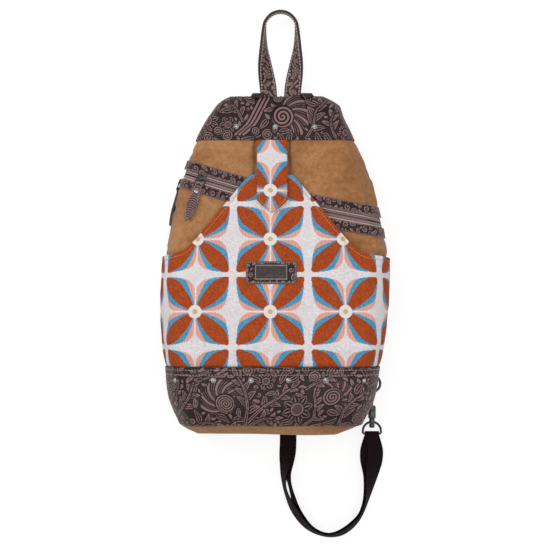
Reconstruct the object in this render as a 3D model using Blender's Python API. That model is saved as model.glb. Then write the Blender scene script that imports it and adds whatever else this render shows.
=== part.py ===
"""A canvas sling backpack lying on its back: jacquard slip pocket, tooled leather
bands, diagonal front zip, side zip, snap hook on a D-ring and a doubled webbing strap.

+X is to the right of the front, +Y runs from the foot to the handle, +Z comes out of
the front. The origin is on the flat back, REST_HEIGHT above the foot.
"""

import math

import bmesh
import bpy
from mathutils import Matrix, Vector

MM = 0.001

# Body: heights are measured from the foot, widths across the skin
BODY_HEIGHT = 373 * MM
REST_HEIGHT = 160 * MM
FOOT_WIDTH = 140 * MM
CORNER_HEIGHT = 12 * MM
CORNER_WIDTH = 199 * MM
BOOT_WIDTH = 227 * MM
HIP_HEIGHT = 163 * MM
HIP_WIDTH = 243 * MM
CHEST_HEIGHT = BODY_HEIGHT - 105 * MM
CHEST_WIDTH = 214 * MM
SHOULDER_WIDTH = 174 * MM
NECK_DROP = 13 * MM
NECK_WIDTH = 132 * MM
TOP_WIDTH = 96 * MM
SIDE_LEAN = 3.5 * MM
BODY_DEPTH = 98 * MM
TAPER_START = 140 * MM
TAPER_BLEND = 30 * MM
TAPER_SLOPE = 0.267
RIM_SHARE = 0.45
INSET_SHARE = 0.65
EDGE_SHARE = 0.40
CORE_SHARE = 0.18
CORE_START = 0.23
CORE_END = 0.78
FOOT_ROUND = 35 * MM
TOP_ROUND = 24 * MM

# Sheet stock and seams
CANVAS = 1.5 * MM
LEATHER = 1.4 * MM
LINING = 0.6 * MM
LINING_ROOM = 6.8 * MM
SEAM = 0.3 * MM

# Bands
TOP_BAND_WIDTH = 50 * MM
BAND_BOTTOM = BODY_HEIGHT - TOP_BAND_WIDTH
BASE_SEAM_HEIGHT = 11 * MM
BOOT_TOP = 75 * MM
BAND_WRAP = 0.75
TOP_BAND_WRAP = 0.45

# Front pocket, measured from its own centre line
POCKET_CENTRE = -2.5 * MM
POCKET_CLOTH = 1.2 * MM
POCKET_ROOM = 6.2 * MM
POCKET_HEM_RISE = 32 * MM
POCKET_PEAK_HEIGHT = BAND_BOTTOM - 40 * MM
POCKET_PEAK_HALF = 24 * MM
POCKET_FOOT_X = 94 * MM
POCKET_SIDE_X = 130 * MM
POCKET_SIDE_HEIGHT = 192 * MM
POCKET_FOOT_HEIGHT = POCKET_SIDE_HEIGHT + 5 * MM
POCKET_FILLET = 13 * MM
POCKET_WRAP = 1.06

# Closure tab and its magnetic snap
TAB_CENTRE = -1.5 * MM
TAB_WIDTH = 33 * MM
TAB_TIP_TAPER = 14 * MM
TAB_THICKNESS = 2.4 * MM
SNAP_HEIGHT = POCKET_PEAK_HEIGHT - 25 * MM
TAB_TIP_HEIGHT = SNAP_HEIGHT - 17 * MM
SNAP_DIAMETER = 13 * MM
SNAP_PLATE = 1.2 * MM
SNAP_BOSS_DIAMETER = 4 * MM

# Patch and plate
PATCH_HEIGHT = 176.5 * MM
PATCH_SIZE = (55 * MM, 24 * MM)
PLATE_SIZE = (35 * MM, 16.5 * MM)
PLATE_THICKNESS = 1.0 * MM

# Front zip: an arc in the sloping plane of the front
ZIP_LEFT = (-96.5 * MM, BODY_HEIGHT - 87.4 * MM)
ZIP_RIGHT = (116.2 * MM, BODY_HEIGHT - 140.5 * MM)
ZIP_SAG = 4.5 * MM
ZIP_GAP = 10.5 * MM
WELT_WIDTH = 11.5 * MM
WELT = 1.2 * MM
TAPE_WIDTH = 12 * MM
TAPE_THICKNESS = 0.5 * MM
BEAD_WIDTH = 1.9 * MM
BEAD_HEIGHT = 1.2 * MM
BEAD_GAP = 1.6 * MM
TAPE_DROP = 0.3 * MM
ZIP_START_X = -79 * MM
ZIP_BAG_BOTTOM = 150 * MM
ZIP_BAG_DROP = 3.4 * MM
ZIP_BAG_ROOM = 3 * MM

# Side zip, in the left gusset, as an arc level with the floor
SIDE_ZIP_TOP = BODY_HEIGHT - 90 * MM
SIDE_ZIP_BOTTOM = 116 * MM
SIDE_ZIP_Z = 20 * MM
SIDE_ZIP_LEAN = math.radians(17)
SIDE_ZIP_SINK = 0.9 * MM
SIDE_TAPE_WIDTH = 6.5 * MM
SIDE_ZIP_START = SIDE_ZIP_TOP - 5 * MM

# Sliders and pulls
SLIDER_LENGTH = 10 * MM
SLIDER_WIDTH = 7.6 * MM
SLIDER_PLATE = 1.1 * MM
SLIDER_POST = 0.9 * MM
BRIDGE_SPAN = 6.4 * MM
BRIDGE_WIDTH = 2.4 * MM
BRIDGE_HEIGHT = 4.9 * MM
BRIDGE_THICKNESS = 0.9 * MM
PULLER_WIRE = 1.2 * MM
PULLER_WIDTH = 10.4 * MM
PULLER_LENGTH = 8.5 * MM
PULL_LENGTH = 42 * MM
PULL_NECK_WIDTH = 7.6 * MM
PULL_WIDTH = 12 * MM
PULL_PLY = 1.1 * MM
RIVET_DIAMETER = 5.6 * MM
RIVET_DROP = 7.5 * MM

# Studs
STUD_DIAMETER = 6 * MM
STUD_DOME = 1.6 * MM
TOP_STUD_HEIGHT = BODY_HEIGHT - 35 * MM
TOP_STUD_PITCH = 43 * MM
TOP_STUD_COUNT = 3
BOOT_STUD_DROP = 14 * MM
BOOT_STUD_PITCH = 40.5 * MM
BOOT_STUD_COUNT = 6
BOOT_STUD_CENTRE = -4 * MM

# Handle
HANDLE_CENTRE = 7 * MM
HANDLE_RISE = 94 * MM
HANDLE_SPAN = 35 * MM
HANDLE_FOOT_SPAN = 25 * MM
HANDLE_WIDTH = 18.4 * MM
HANDLE_THICKNESS = 3 * MM

# Strap: flat webbing, doubled between the adjuster and the hook
STRAP_X = 16.4 * MM
WEBBING_WIDTH = 18.6 * MM
WEBBING = 1.3 * MM
PLY_GAP = 0.5 * MM
EYE_GATHER = 0.84
CHANNEL_HALF = 13.2 * MM
CHANNEL_RAMP = 1.4 * MM
CHANNEL_DEPTH = 8.6 * MM
ANCHOR_HEIGHT = BODY_HEIGHT - 32 * MM
ANCHOR_SIZE = (24 * MM, 26 * MM)
SLIDE_HEIGHT = ANCHOR_HEIGHT - 91 * MM
SLIDE_SIZE = (25 * MM, 25 * MM)
SLIDE_BAR = 2.2 * MM
SLIDE_THICKNESS = 1.2 * MM

# D-ring and snap hook, in the plane HOOK_Z above the floor
HOOK_X = 110 * MM
HOOK_Z = 8.5 * MM
D_RING_WIRE = 2.7 * MM
D_RING_RADIUS = 9.4 * MM
D_RING_REACH = 120.7 * MM
D_RING_HEIGHT = 53.4 * MM
D_RING_BAR_X = 105.2 * MM
D_TAB_WIDTH = 10 * MM
D_TAB_PLY = 1.2 * MM
BARREL_DIAMETER = 8.8 * MM
BARREL_BOTTOM = 14.6 * MM
BARREL_LENGTH = 14.4 * MM
JAW_RADIUS = 5.2 * MM
JAW_WIRE = 3.4 * MM
JAW_HEIGHT = 43.4 * MM
NOSE_LENGTH = 3 * MM
GATE_THICKNESS = 2.6 * MM
GATE_WIDTH = 3.0 * MM
GATE_PIN_DIAMETER = 1.5 * MM
GATE_PIVOT_DROP = 3.2 * MM
FIT = 0.15 * MM
EYE_WIDTH = 23 * MM
EYE_HEIGHT = 15.8 * MM
EYE_WIRE = 2.7 * MM
EYE_TOP = 12 * MM
BOSS_DIAMETER = 6.4 * MM
STEM_DIAMETER = 2.8 * MM
STEM_HEAD_DIAMETER = 6.4 * MM
STEM_HEAD = 4.4 * MM

CANVAS_TAN = (0.40, 0.20, 0.085)
LEATHER_BROWN = (0.10, 0.062, 0.060)
JACQUARD_RUST = (0.42, 0.11, 0.03)
LINING_GREY = (0.25, 0.22, 0.19)
TAPE_MAUVE = (0.21, 0.14, 0.13)
WEBBING_DARK = (0.022, 0.010, 0.012)
GUNMETAL = (0.09, 0.09, 0.09)
PALE_METAL = (0.62, 0.60, 0.58)


def remove_old_objects():
    for old in list(bpy.data.objects):
        bpy.data.objects.remove(old)


def place(x, height, z):
    """A point of the row's frame, from a height above the foot."""
    return Vector((x, height - REST_HEIGHT, z))


def follow(stations, value):
    """A smooth curve through (value, result) stations that never overshoots them."""
    if value <= stations[0][0]:
        return stations[0][1]
    if value >= stations[-1][0]:
        return stations[-1][1]
    steps = [b[0] - a[0] for a, b in zip(stations, stations[1:])]
    rises = [(b[1] - a[1]) / step for a, b, step in zip(stations, stations[1:], steps)]
    slopes = [rises[0]]
    for before, after in zip(rises, rises[1:]):
        level = before * after <= 0
        slopes.append(0.0 if level else 2 * before * after / (before + after))
    slopes.append(rises[-1])
    i = max(n for n, station in enumerate(stations[:-1]) if station[0] <= value)
    t = (value - stations[i][0]) / steps[i]
    start, end = stations[i][1], stations[i + 1][1]
    bow_in = t * (1 - t) ** 2 * steps[i] * slopes[i]
    bow_out = t * t * (t - 1) * steps[i] * slopes[i + 1]
    return start + (end - start) * t * t * (3 - 2 * t) + bow_in + bow_out


def steps_between(start, end, count):
    return [start + (end - start) * i / count for i in range(count + 1)]


# The skin of the stuffed bag


CORNER_SEAM = 0.8 * BASE_SEAM_HEIGHT
OUTLINE = (
    (0.0, FOOT_WIDTH / 2),
    (CORNER_HEIGHT, CORNER_WIDTH / 2),
    (BOOT_TOP - BOOT_STUD_DROP, BOOT_WIDTH / 2),
    (HIP_HEIGHT, HIP_WIDTH / 2),
    (POCKET_SIDE_HEIGHT, HIP_WIDTH / 2 - 0.5 * MM),
    (CHEST_HEIGHT, CHEST_WIDTH / 2),
    (BAND_BOTTOM, SHOULDER_WIDTH / 2),
    (BODY_HEIGHT - NECK_DROP, NECK_WIDTH / 2),
    (BODY_HEIGHT, TOP_WIDTH / 2),
)
LEAN = ((0.0, -0.9), (0.3, 0.0), (0.62, 1.0), (0.85, 0.5), (1.0, 0.8))


def half_width(height):
    return follow(OUTLINE, height)


def centre_x(height):
    """The stuffed bag leans a little to one side."""
    return SIDE_LEAN * follow(LEAN, height / BODY_HEIGHT)


def full_depth(height):
    """Even at the foot, then a straight taper from the hip to the top."""
    past = min(max(height - TAPER_START, 0.0), TAPER_BLEND)
    straight = max(height - TAPER_START - TAPER_BLEND, 0.0)
    return BODY_DEPTH - TAPER_SLOPE * (past * past / (2 * TAPER_BLEND) + straight)


def rim_z(height):
    """How high the widest line of the bag lies above the floor."""
    return RIM_SHARE * full_depth(height)


def rounding(distance, radius):
    """0 at an edge, 1 from one radius in: a quarter circle's rise."""
    inward = min(max(distance / radius, 0.0), 1.0)
    return math.sqrt(1 - (1 - inward) ** 2)


def flat_half(height):
    """Half the width of the flat middle of the front."""
    rise = full_depth(height) - rim_z(height)
    return half_width(height) - EDGE_SHARE * rise


def front_z(x, height):
    rim = rim_z(height)
    rise = full_depth(height) - rim
    across = rounding(half_width(height) - abs(x - centre_x(height)), EDGE_SHARE * rise)
    ends = rounding(height, FOOT_ROUND) * rounding(BODY_HEIGHT - height, TOP_ROUND)
    return rim + rise * across * ends


def rim(t):
    """The widest line: 0 to 1 up the left side, to 2 along the top, to 3 down, to 4 back."""
    t = t % 4
    if t < 1 or 2 <= t < 3:
        height = BODY_HEIGHT * (t if t < 1 else 3 - t)
        side = -1 if t < 1 else 1
        return centre_x(height) + side * half_width(height), height
    if t < 2:
        return centre_x(BODY_HEIGHT) + TOP_WIDTH * (t - 1.5), BODY_HEIGHT
    return centre_x(0) + FOOT_WIDTH * (3.5 - t), 0.0


def gusset(t, v):
    """From the rim at v = 0 round to the flat back at v = 1, drawn in towards a core."""
    x, height = rim(t)
    core = CORE_SHARE * HIP_WIDTH
    near_x = min(max(x, -core), core)
    near_height = min(max(height, CORE_START * BODY_HEIGHT), CORE_END * BODY_HEIGHT)
    inward = Vector((near_x - x, near_height - height)).normalized()
    reach = INSET_SHARE * rim_z(height) * (1 - math.cos(v * math.pi / 2))
    z = rim_z(height) * (1 - math.sin(v * math.pi / 2))
    return place(x + inward.x * reach, height + inward.y * reach, z)


def skin(s, height):
    """s from -1 to 1 crosses the front, beyond that it goes round the side gussets."""
    if abs(s) > 1:
        t = height / BODY_HEIGHT
        return gusset(t if s < 0 else 3 - t, min(abs(s) - 1, 1))
    flat = flat_half(height)
    edge = half_width(height) - flat
    if abs(s) < EDGE_START:
        offset = s / EDGE_START * flat
    else:
        angle = (1 - abs(s)) / (1 - EDGE_START) * math.pi / 2
        offset = math.copysign(flat + edge * math.cos(angle), s)
    x = centre_x(height) + offset
    return place(x, height, front_z(x, height))


EDGE_START = 0.72


def outward(surface, a, b, step=1e-4):
    """The unit normal of surface(a, b), away from the middle of the bag."""
    here = surface(a, b)
    along_a = surface(a + step, b) - surface(a - step, b)
    along_b = surface(a, b + step) - surface(a, b - step)
    normal = along_a.cross(along_b).normalized()
    middle = Vector((0, here.y, BODY_DEPTH / 3))
    height = min(max(here.y, 60 * MM - REST_HEIGHT), BAND_BOTTOM - REST_HEIGHT)
    middle.y = height
    return -normal if normal.dot(here - middle) < 0 else normal


# Objects and materials


def material(name, colour, roughness, metallic=0.0):
    made = bpy.data.materials.new(name)
    made.use_nodes = True
    shader = made.node_tree.nodes["Principled BSDF"]
    shader.inputs["Base Color"].default_value = (*colour, 1.0)
    shader.inputs["Roughness"].default_value = roughness
    shader.inputs["Metallic"].default_value = metallic
    return made


FINISHES = {
    "canvas": (CANVAS_TAN, 0.9, 0.0),
    "leather": (LEATHER_BROWN, 0.55, 0.0),
    "jacquard": (JACQUARD_RUST, 0.85, 0.0),
    "lining": (LINING_GREY, 0.9, 0.0),
    "tape": (TAPE_MAUVE, 0.8, 0.0),
    "webbing": (WEBBING_DARK, 0.7, 0.0),
    "gunmetal": (GUNMETAL, 0.35, 1.0),
    "pale_metal": (PALE_METAL, 0.3, 1.0),
}


def finish_object(name, mesh, finish):
    """Puts a bmesh into the scene as one named object with its own material."""
    bmesh.ops.recalc_face_normals(mesh, faces=mesh.faces)
    data = bpy.data.meshes.new(name)
    mesh.to_mesh(data)
    mesh.free()
    obj = bpy.data.objects.new(name, data)
    bpy.context.scene.collection.objects.link(obj)
    data.materials.append(material(name, *FINISHES[finish]))
    return obj


def sheet(name, surface, a_steps, b_steps, inner, thickness, finish, normals=None):
    """A sewn panel: a grid on surface(a, b), given its stock's thickness along the normals.

    inner is how far its inner face lies outside the surface, a number or a function."""
    normals = normals or surface
    mesh = bmesh.new()
    layers = []
    for layer in (0.0, thickness):
        rows = []
        for a in a_steps:
            row = []
            for b in b_steps:
                lift = (inner(a, b) if callable(inner) else inner) + layer
                point = surface(a, b) + outward(normals, a, b) * lift
                row.append(mesh.verts.new(point))
            rows.append(row)
        layers.append(rows)
    skin_over(mesh, *layers)
    return finish_object(name, mesh, finish)


def skin_over(mesh, low, high):
    """Closes two grids of points, one over the other, into a body."""
    last_a, last_b = len(low) - 1, len(low[0]) - 1
    for i in range(last_a):
        for j in range(last_b):
            mesh.faces.new([low[i][j + 1], low[i + 1][j + 1], low[i + 1][j], low[i][j]])
            mesh.faces.new([high[i][j], high[i + 1][j], high[i + 1][j + 1], high[i][j + 1]])
    for i in range(last_a):
        for j in (0, last_b):
            mesh.faces.new([low[i][j], low[i + 1][j], high[i + 1][j], high[i][j]])
    for j in range(last_b):
        for i in (0, last_a):
            mesh.faces.new([low[i][j], low[i][j + 1], high[i][j + 1], high[i][j]])


def loft(name, rings, finish, closed=False):
    """A body through rings of points, capped at both ends unless it closes on itself."""
    mesh = bmesh.new()
    made = [[mesh.verts.new(point) for point in ring] for ring in rings]
    pairs = list(zip(made, made[1:])) + ([(made[-1], made[0])] if closed else [])
    count = len(rings[0])
    for before, after in pairs:
        for k in range(count):
            n = (k + 1) % count
            mesh.faces.new([before[k], before[n], after[n], after[k]])
    if not closed:
        mesh.faces.new(made[0])
        mesh.faces.new(made[-1][::-1])
    return finish_object(name, mesh, finish)


def smooth_path(stations, step):
    """Catmull-Rom through stations of any length of tuple, sampled about every step."""
    ends = [stations[0]] + list(stations) + [stations[-1]]
    path = []
    for p0, p1, p2, p3 in zip(ends, ends[1:], ends[2:], ends[3:]):
        length = math.dist(p1[:3], p2[:3])
        count = max(1, round(length / step))
        for i in range(count):
            t = i / count
            path.append(
                tuple(
                    0.5 * (2 * b + (c - a) * t + (2 * a - 5 * b + 4 * c - d) * t * t
                           + (3 * b - a - 3 * c + d) * t ** 3)
                    for a, b, c, d in zip(p0, p1, p2, p3)
                )
            )
    path.append(tuple(stations[-1]))
    return path


def ribbon(name, points, width_directions, widths, thickness, finish):
    """A flat strap: a rectangle swept along points."""
    rings = []
    last = len(points) - 1
    for i, point in enumerate(points):
        along = (points[min(i + 1, last)] - points[max(i - 1, 0)]).normalized()
        across = width_directions[i]
        across = (across - along * across.dot(along)).normalized()
        up = along.cross(across)
        half, rise = across * widths[i] / 2, up * thickness / 2
        rings.append([point + corner for corner in (half + rise, rise - half, -half - rise, half - rise)])
    return loft(name, rings, finish)


def wire(name, points, radius, finish, sides=8):
    """A round wire bent along points in one plane."""
    last = len(points) - 1
    flat = (points[1] - points[0]).cross(points[last // 2 + 1] - points[0]).normalized()
    rings = []
    for i, point in enumerate(points):
        along = (points[min(i + 1, last)] - points[max(i - 1, 0)]).normalized()
        across = flat.cross(along)
        rings.append([point + across * radius * math.cos(2 * math.pi * k / sides)
                      + flat * radius * math.sin(2 * math.pi * k / sides) for k in range(sides)])
    return loft(name, rings, finish)


def prism(name, outline, thickness, frame, finish):
    """An outline in a frame's first two axes, as thick as given along its third."""
    mesh = bmesh.new()
    face = mesh.faces.new([mesh.verts.new((u, v, 0)) for u, v in outline])
    made = bmesh.ops.extrude_face_region(mesh, geom=[face])
    moved = [item for item in made["geom"] if isinstance(item, bmesh.types.BMVert)]
    bmesh.ops.translate(mesh, vec=(0, 0, thickness), verts=moved)
    bmesh.ops.transform(mesh, matrix=frame, verts=mesh.verts)
    return finish_object(name, mesh, finish)


def turned(name, profile, frame, finish, sides=14):
    """A profile of (radius, height) turned about a frame's third axis; ends may be on it."""
    mesh = bmesh.new()
    rings = []
    for radius, height in profile:
        if radius == 0:
            rings.append([mesh.verts.new((0, 0, height))])
            continue
        angles = [2 * math.pi * k / sides for k in range(sides)]
        rings.append(
            [mesh.verts.new((radius * math.cos(a), radius * math.sin(a), height)) for a in angles]
        )
    for before, after in zip(rings, rings[1:]):
        for k in range(sides):
            n = (k + 1) % sides
            corners = [before[k % len(before)], before[n % len(before)]]
            corners += [after[n % len(after)], after[k % len(after)]]
            mesh.faces.new(list(dict.fromkeys(corners)))
    for ring, turn in ((rings[0], True), (rings[-1], False)):
        if len(ring) > 1:
            mesh.faces.new(ring[::-1] if turn else ring)
    bmesh.ops.transform(mesh, matrix=frame, verts=mesh.verts)
    obj = finish_object(name, mesh, finish)
    obj.data.shade_smooth()
    obj.data.set_sharp_from_angle(angle=math.radians(40))
    return obj


def combine(obj, tool, operation):
    """Joins tool to obj, or cuts it away; the tool stays as a hidden guide."""
    step = obj.modifiers.new(operation.lower(), "BOOLEAN")
    step.operation = operation
    step.solver = "EXACT"
    step.object = tool
    tool.hide_render = True
    tool.display_type = "WIRE"
    return obj


def frame_at(origin, first, second):
    """A matrix whose first axes are the given unit vectors, made square."""
    third = first.cross(second).normalized()
    second = third.cross(first).normalized()
    matrix = Matrix((first, second, third)).transposed().to_4x4()
    matrix.translation = origin
    return matrix


def standing(origin, normal):
    """A frame that stands on its third axis, its first as near +X as it can be."""
    second = normal.cross(Vector((1, 0, 0))).normalized()
    return frame_at(origin, second.cross(normal), second)


def set_origin(obj, point):
    """Moves an object's origin to a point on its joint's axis and leaves its shape."""
    obj.data.transform(Matrix.Translation(-point))
    obj.location = point


# Front zip line


SLOPE = math.atan(TAPER_SLOPE)


def zip_arc():
    """Centre and radius of the zip's arc, in x and in height measured up the slope."""
    left = Vector((ZIP_LEFT[0], ZIP_LEFT[1] / math.cos(SLOPE)))
    right = Vector((ZIP_RIGHT[0], ZIP_RIGHT[1] / math.cos(SLOPE)))
    chord = right - left
    radius = (chord.length ** 2 / 4 + ZIP_SAG ** 2) / (2 * ZIP_SAG)
    upward = Vector((-chord.y, chord.x)).normalized()
    return (left + right) / 2 + upward * (radius - ZIP_SAG), radius


ARC_CENTRE, ARC_RADIUS = zip_arc()


def zip_height(x):
    """Height of the front zip's centre line at x."""
    up_slope = ARC_CENTRE.y - math.sqrt(ARC_RADIUS ** 2 - (x - ARC_CENTRE.x) ** 2)
    return up_slope * math.cos(SLOPE)


def zip_height_at(s, shift=0.0):
    """Height of the zip line, moved across by shift, where it meets column s."""
    height = ZIP_LEFT[1]
    for _ in range(8):
        height = zip_height(skin(s, height).x) + shift
    return height


# Grids that the sewn layers share, so that none cuts into the next


def mirrored(values):
    return sorted({-v for v in values} | set(values))


FRONT_COLUMNS = (0.0, 0.18, 0.36, 0.54, EDGE_START, 0.79, 0.86, 0.93)
FRONT_END = 0.995
GUSSET_COLUMNS = (0.01, 0.15, 0.3, 0.45, 0.6, 0.75, 0.88, 0.985)
BOOT_ROWS = tuple(BASE_SEAM_HEIGHT + SEAM + (BOOT_TOP - BASE_SEAM_HEIGHT - SEAM) * share
                  for share in (0.0, 0.06, 0.14, 0.25, 0.39, 0.69, 1.0))
SIDE_ROWS = tuple(BOOT_TOP + (POCKET_SIDE_HEIGHT - BOOT_TOP) * share for share in (0.25, 0.5, 0.75, 1.0))
TOP_ROWS = tuple(BAND_BOTTOM + (TOP_BAND_WIDTH - SEAM) * share
                 for share in (0.0, 0.36, 0.6, 0.78, 0.9, 0.97, 1.0))


def toward(level, limit):
    """The skin by (s, b): b is a height, or below 0 the share of the way from level to limit(s)."""

    def surface(s, b):
        return skin(s, b if b > 0 else level - (limit(s) - level) * b)

    return surface


# Canvas shell


def make_front_panels():
    slot = ZIP_GAP / 2 / math.cos(SLOPE)
    columns = mirrored(FRONT_COLUMNS + (FRONT_END,))
    upper = toward(BAND_BOTTOM, lambda s: zip_height_at(s, slot))
    sheet("front_panel_upper", upper, columns, (-1, -0.75, -0.5, -0.25) + TOP_ROWS, -CANVAS, CANVAS, "canvas")
    lower = toward(POCKET_SIDE_HEIGHT, lambda s: zip_height_at(s, -slot))
    rows = BOOT_ROWS + SIDE_ROWS + (-0.33, -0.67, -1)
    sheet("front_panel_lower", lower, columns, rows, -CANVAS, CANVAS, "canvas")


def side_zip_v(t):
    """Where the side zip's level crosses the gusset at t."""
    level = SIDE_ZIP_Z / rim_z(BODY_HEIGHT * t)
    return math.asin(max(0.0, min(1.0, 1 - level))) * 2 / math.pi


def make_gussets():
    between_rows = steps_between(POCKET_SIDE_HEIGHT, BAND_BOTTOM, 4)[1:-1]
    heights = [CORNER_SEAM + 0.6 * MM] + list(BOOT_ROWS[1:] + SIDE_ROWS) + between_rows + list(TOP_ROWS)
    rows = [height / BODY_HEIGHT for height in heights]
    left = sheet("side_gusset_left", gusset, rows, GUSSET_COLUMNS, -CANVAS, CANVAS, "canvas")
    slot = side_zip_band("side_zip_slot_guide", SLIDER_WIDTH + 2 * MM, -4 * MM, 8 * MM)
    combine(left, slot, "DIFFERENCE")
    right = [3 - t for t in rows]
    sheet("side_gusset_right", gusset, right, GUSSET_COLUMNS, -CANVAS, CANVAS, "canvas")
    corner = 2 * SEAM / TOP_WIDTH
    top = steps_between(1 + corner, 2 - corner, 6)
    sheet("top_gusset", gusset, top, GUSSET_COLUMNS, -CANVAS, CANVAS, "leather")


def channel(x, height):
    """How high the strap presses the back up over the floor."""
    level = follow(
        ((0, CHANNEL_DEPTH), (SLIDE_HEIGHT + 30 * MM, CHANNEL_DEPTH), (ANCHOR_HEIGHT - 18 * MM, 3.6 * MM)),
        height,
    )
    return level * min(max((CHANNEL_HALF + CHANNEL_RAMP - abs(x - STRAP_X)) / CHANNEL_RAMP, 0), 1)


CHANNEL_EDGES = [STRAP_X + side * (CHANNEL_HALF + ramp) for side, ramp in
                 ((-1, CHANNEL_RAMP), (-1, 0), (1, 0), (1, CHANNEL_RAMP))]


def foot_t(x):
    """The rim's t on the foot or its corners, at x."""
    away = x - centre_x(0)
    if abs(away) <= FOOT_WIDTH / 2:
        return 3.5 - away / FOOT_WIDTH
    low, high = 0.0, BASE_SEAM_HEIGHT
    for _ in range(30):
        middle = (low + high) / 2
        low, high = (middle, high) if half_width(middle) < abs(away) else (low, middle)
    return 3 - low / BODY_HEIGHT if away > 0 else 4 + low / BODY_HEIGHT


def base_columns():
    """From the right corner to the left, through the front's columns and the channel's edges."""
    corner = rim(CORNER_SEAM / BODY_HEIGHT)[0] - centre_x(0)
    flat = [skin(s, BASE_SEAM_HEIGHT + SEAM).x for s in mirrored(FRONT_COLUMNS[4:])]
    flat = [x for x in flat if abs(x - centre_x(0)) < abs(corner) - 3 * MM]
    spots = sorted(flat + CHANNEL_EDGES + [centre_x(0) - abs(corner), centre_x(0) + abs(corner)])
    return [foot_t(x) for x in reversed(spots)]


def base_surface(t, b):
    """Base canvas: b from -1 at the back, through the rim at 0, to the boot's seam at 1."""
    if b < 0:
        point = gusset(t, -b)
        point.z = max(point.z, channel(point.x, 0))
        return point
    x, height = rim(t)
    up = height + (BASE_SEAM_HEIGHT - height) * b * b
    return place(x, up, front_z(x, up))


def make_base_panel():
    rows = [-0.985, -0.9, -0.8, -0.65, -0.45, -0.22, 0.0, 0.35, 0.7, 1.0]
    normals = lambda t, b: base_surface(t, b) if b >= 0 else gusset(t, -b)
    sheet("base_panel", base_surface, base_columns(), rows, -CANVAS, CANVAS, "canvas", normals)


def back_rows():
    """The flat back, from the base's edge up: rows of points with the strap's channel in them."""
    foot = [gusset(t, GUSSET_COLUMNS[-1]) for t in reversed(base_columns())]
    foot = [Vector((p.x, p.y + 1.5 * SEAM, 0)) for p in foot]
    marks = [n for n, p in enumerate(foot) if any(abs(p.x - edge) < 0.2 * MM for edge in CHANNEL_EDGES)]
    rows = [foot]
    between_rows = tuple(steps_between(POCKET_SIDE_HEIGHT, BAND_BOTTOM, 4)[1:-1])
    heights = BOOT_ROWS[2:] + SIDE_ROWS + between_rows + TOP_ROWS[:-1]
    for height in heights:
        left = gusset(height / BODY_HEIGHT, GUSSET_COLUMNS[-1])
        right = gusset(3 - height / BODY_HEIGHT, GUSSET_COLUMNS[-1])
        start, end = left.x + 1.5 * SEAM, right.x - 1.5 * SEAM
        row = []
        for n, below in enumerate(foot):
            if n <= marks[0]:
                x = start + (CHANNEL_EDGES[0] - start) * n / marks[0]
            elif n >= marks[-1]:
                share = (n - marks[-1]) / (len(foot) - 1 - marks[-1])
                x = CHANNEL_EDGES[-1] + (end - CHANNEL_EDGES[-1]) * share
            else:
                x = below.x
            row.append(Vector((x, left.y, 0)))
        if row[0].y > foot[0].y + 2 * MM:
            rows.append(row)
    for row in rows:
        for point in row:
            point.z = channel(point.x, point.y + REST_HEIGHT)
    return rows


def make_back_panel():
    rows = back_rows()
    mesh = bmesh.new()
    low = [[mesh.verts.new(point) for point in row] for row in rows]
    high = [[mesh.verts.new(point + Vector((0, 0, CANVAS))) for point in row] for row in rows]
    skin_over(mesh, low, high)
    return finish_object("back_panel", mesh, "canvas")


def make_linings():
    loose = LINING_ROOM / (0.3 * FRONT_END)

    def depth(s, b):
        return -CANVAS - SEAM - LINING - LINING_ROOM * rounding(FRONT_END - abs(s), LINING_ROOM / loose)

    rows = BOOT_ROWS[3:] + SIDE_ROWS[1::2] + (0.69 * BODY_HEIGHT,) + TOP_ROWS[:4]
    sheet("lining_front", skin, mirrored(FRONT_COLUMNS + (FRONT_END,)), rows, depth, LINING, "lining")
    inset = 1.3 * INSET_SHARE * RIM_SHARE * BODY_DEPTH
    level = CHANNEL_DEPTH + CANVAS + SEAM + LINING
    flat = lambda a, b: place(centre_x(b) + a * (half_width(b) - inset), b, level)
    rows = steps_between(1.1 * inset, 0.8 * BODY_HEIGHT, 3)
    sheet("lining_back", flat, [-1, 0, 1], rows, 0, LINING, "lining")


def make_zip_bag():
    """The front zip's pocket bag: one cloth, down its front leaf and up its back leaf."""
    near, far = -ZIP_BAG_DROP, -ZIP_BAG_DROP - ZIP_BAG_ROOM
    turn = 3 * LINING
    outer = [(1, near), (turn, near), (0, near - turn), (0, far + turn), (turn, far), (1, far)]
    inner = [(1, far + LINING), (turn, far + LINING), (LINING, far + turn), (LINING, near - turn)]
    inner += [(turn, near - LINING), (1, near - LINING)]
    rings = []
    for s in mirrored(FRONT_COLUMNS[:5]):
        top = zip_height_at(s, ZIP_GAP / 2)
        ring = []
        for rise, lift in outer + inner:
            height = top if rise == 1 else ZIP_BAG_BOTTOM + rise
            ring.append(skin(s, height) + outward(skin, s, height) * lift)
        rings.append(ring)
    loft("zip_pocket_bag", rings, "lining")


# Bands of tooled leather


def wrapped(share):
    """The front's columns, carried round both gussets as far as a share of their depth."""
    return mirrored(FRONT_COLUMNS + (1.0,) + tuple(1 + v for v in GUSSET_COLUMNS if v <= share))


def make_bands():
    sheet("top_band", skin, wrapped(TOP_BAND_WRAP), TOP_ROWS, SEAM, LEATHER, "leather")
    sheet("bottom_band", skin, wrapped(BAND_WRAP), BOOT_ROWS, SEAM, LEATHER, "leather")


def add_stud(name, x, height, lift):
    surface = lambda a, b: place(a, b, front_z(a, b))
    normal = outward(surface, x, height)
    frame = standing(surface(x, height) + normal * lift, normal)
    radius = STUD_DIAMETER / 2
    profile = [(0, 0), (radius, 0), (radius, 0.35 * MM)]
    profile += [(radius * 0.9 * math.cos(a), 0.35 * MM + STUD_DOME * math.sin(a))
                for a in (0.15, 0.6, 1.1)]
    turned(name, profile + [(0, 0.35 * MM + STUD_DOME)], frame, "pale_metal", sides=10)


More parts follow.
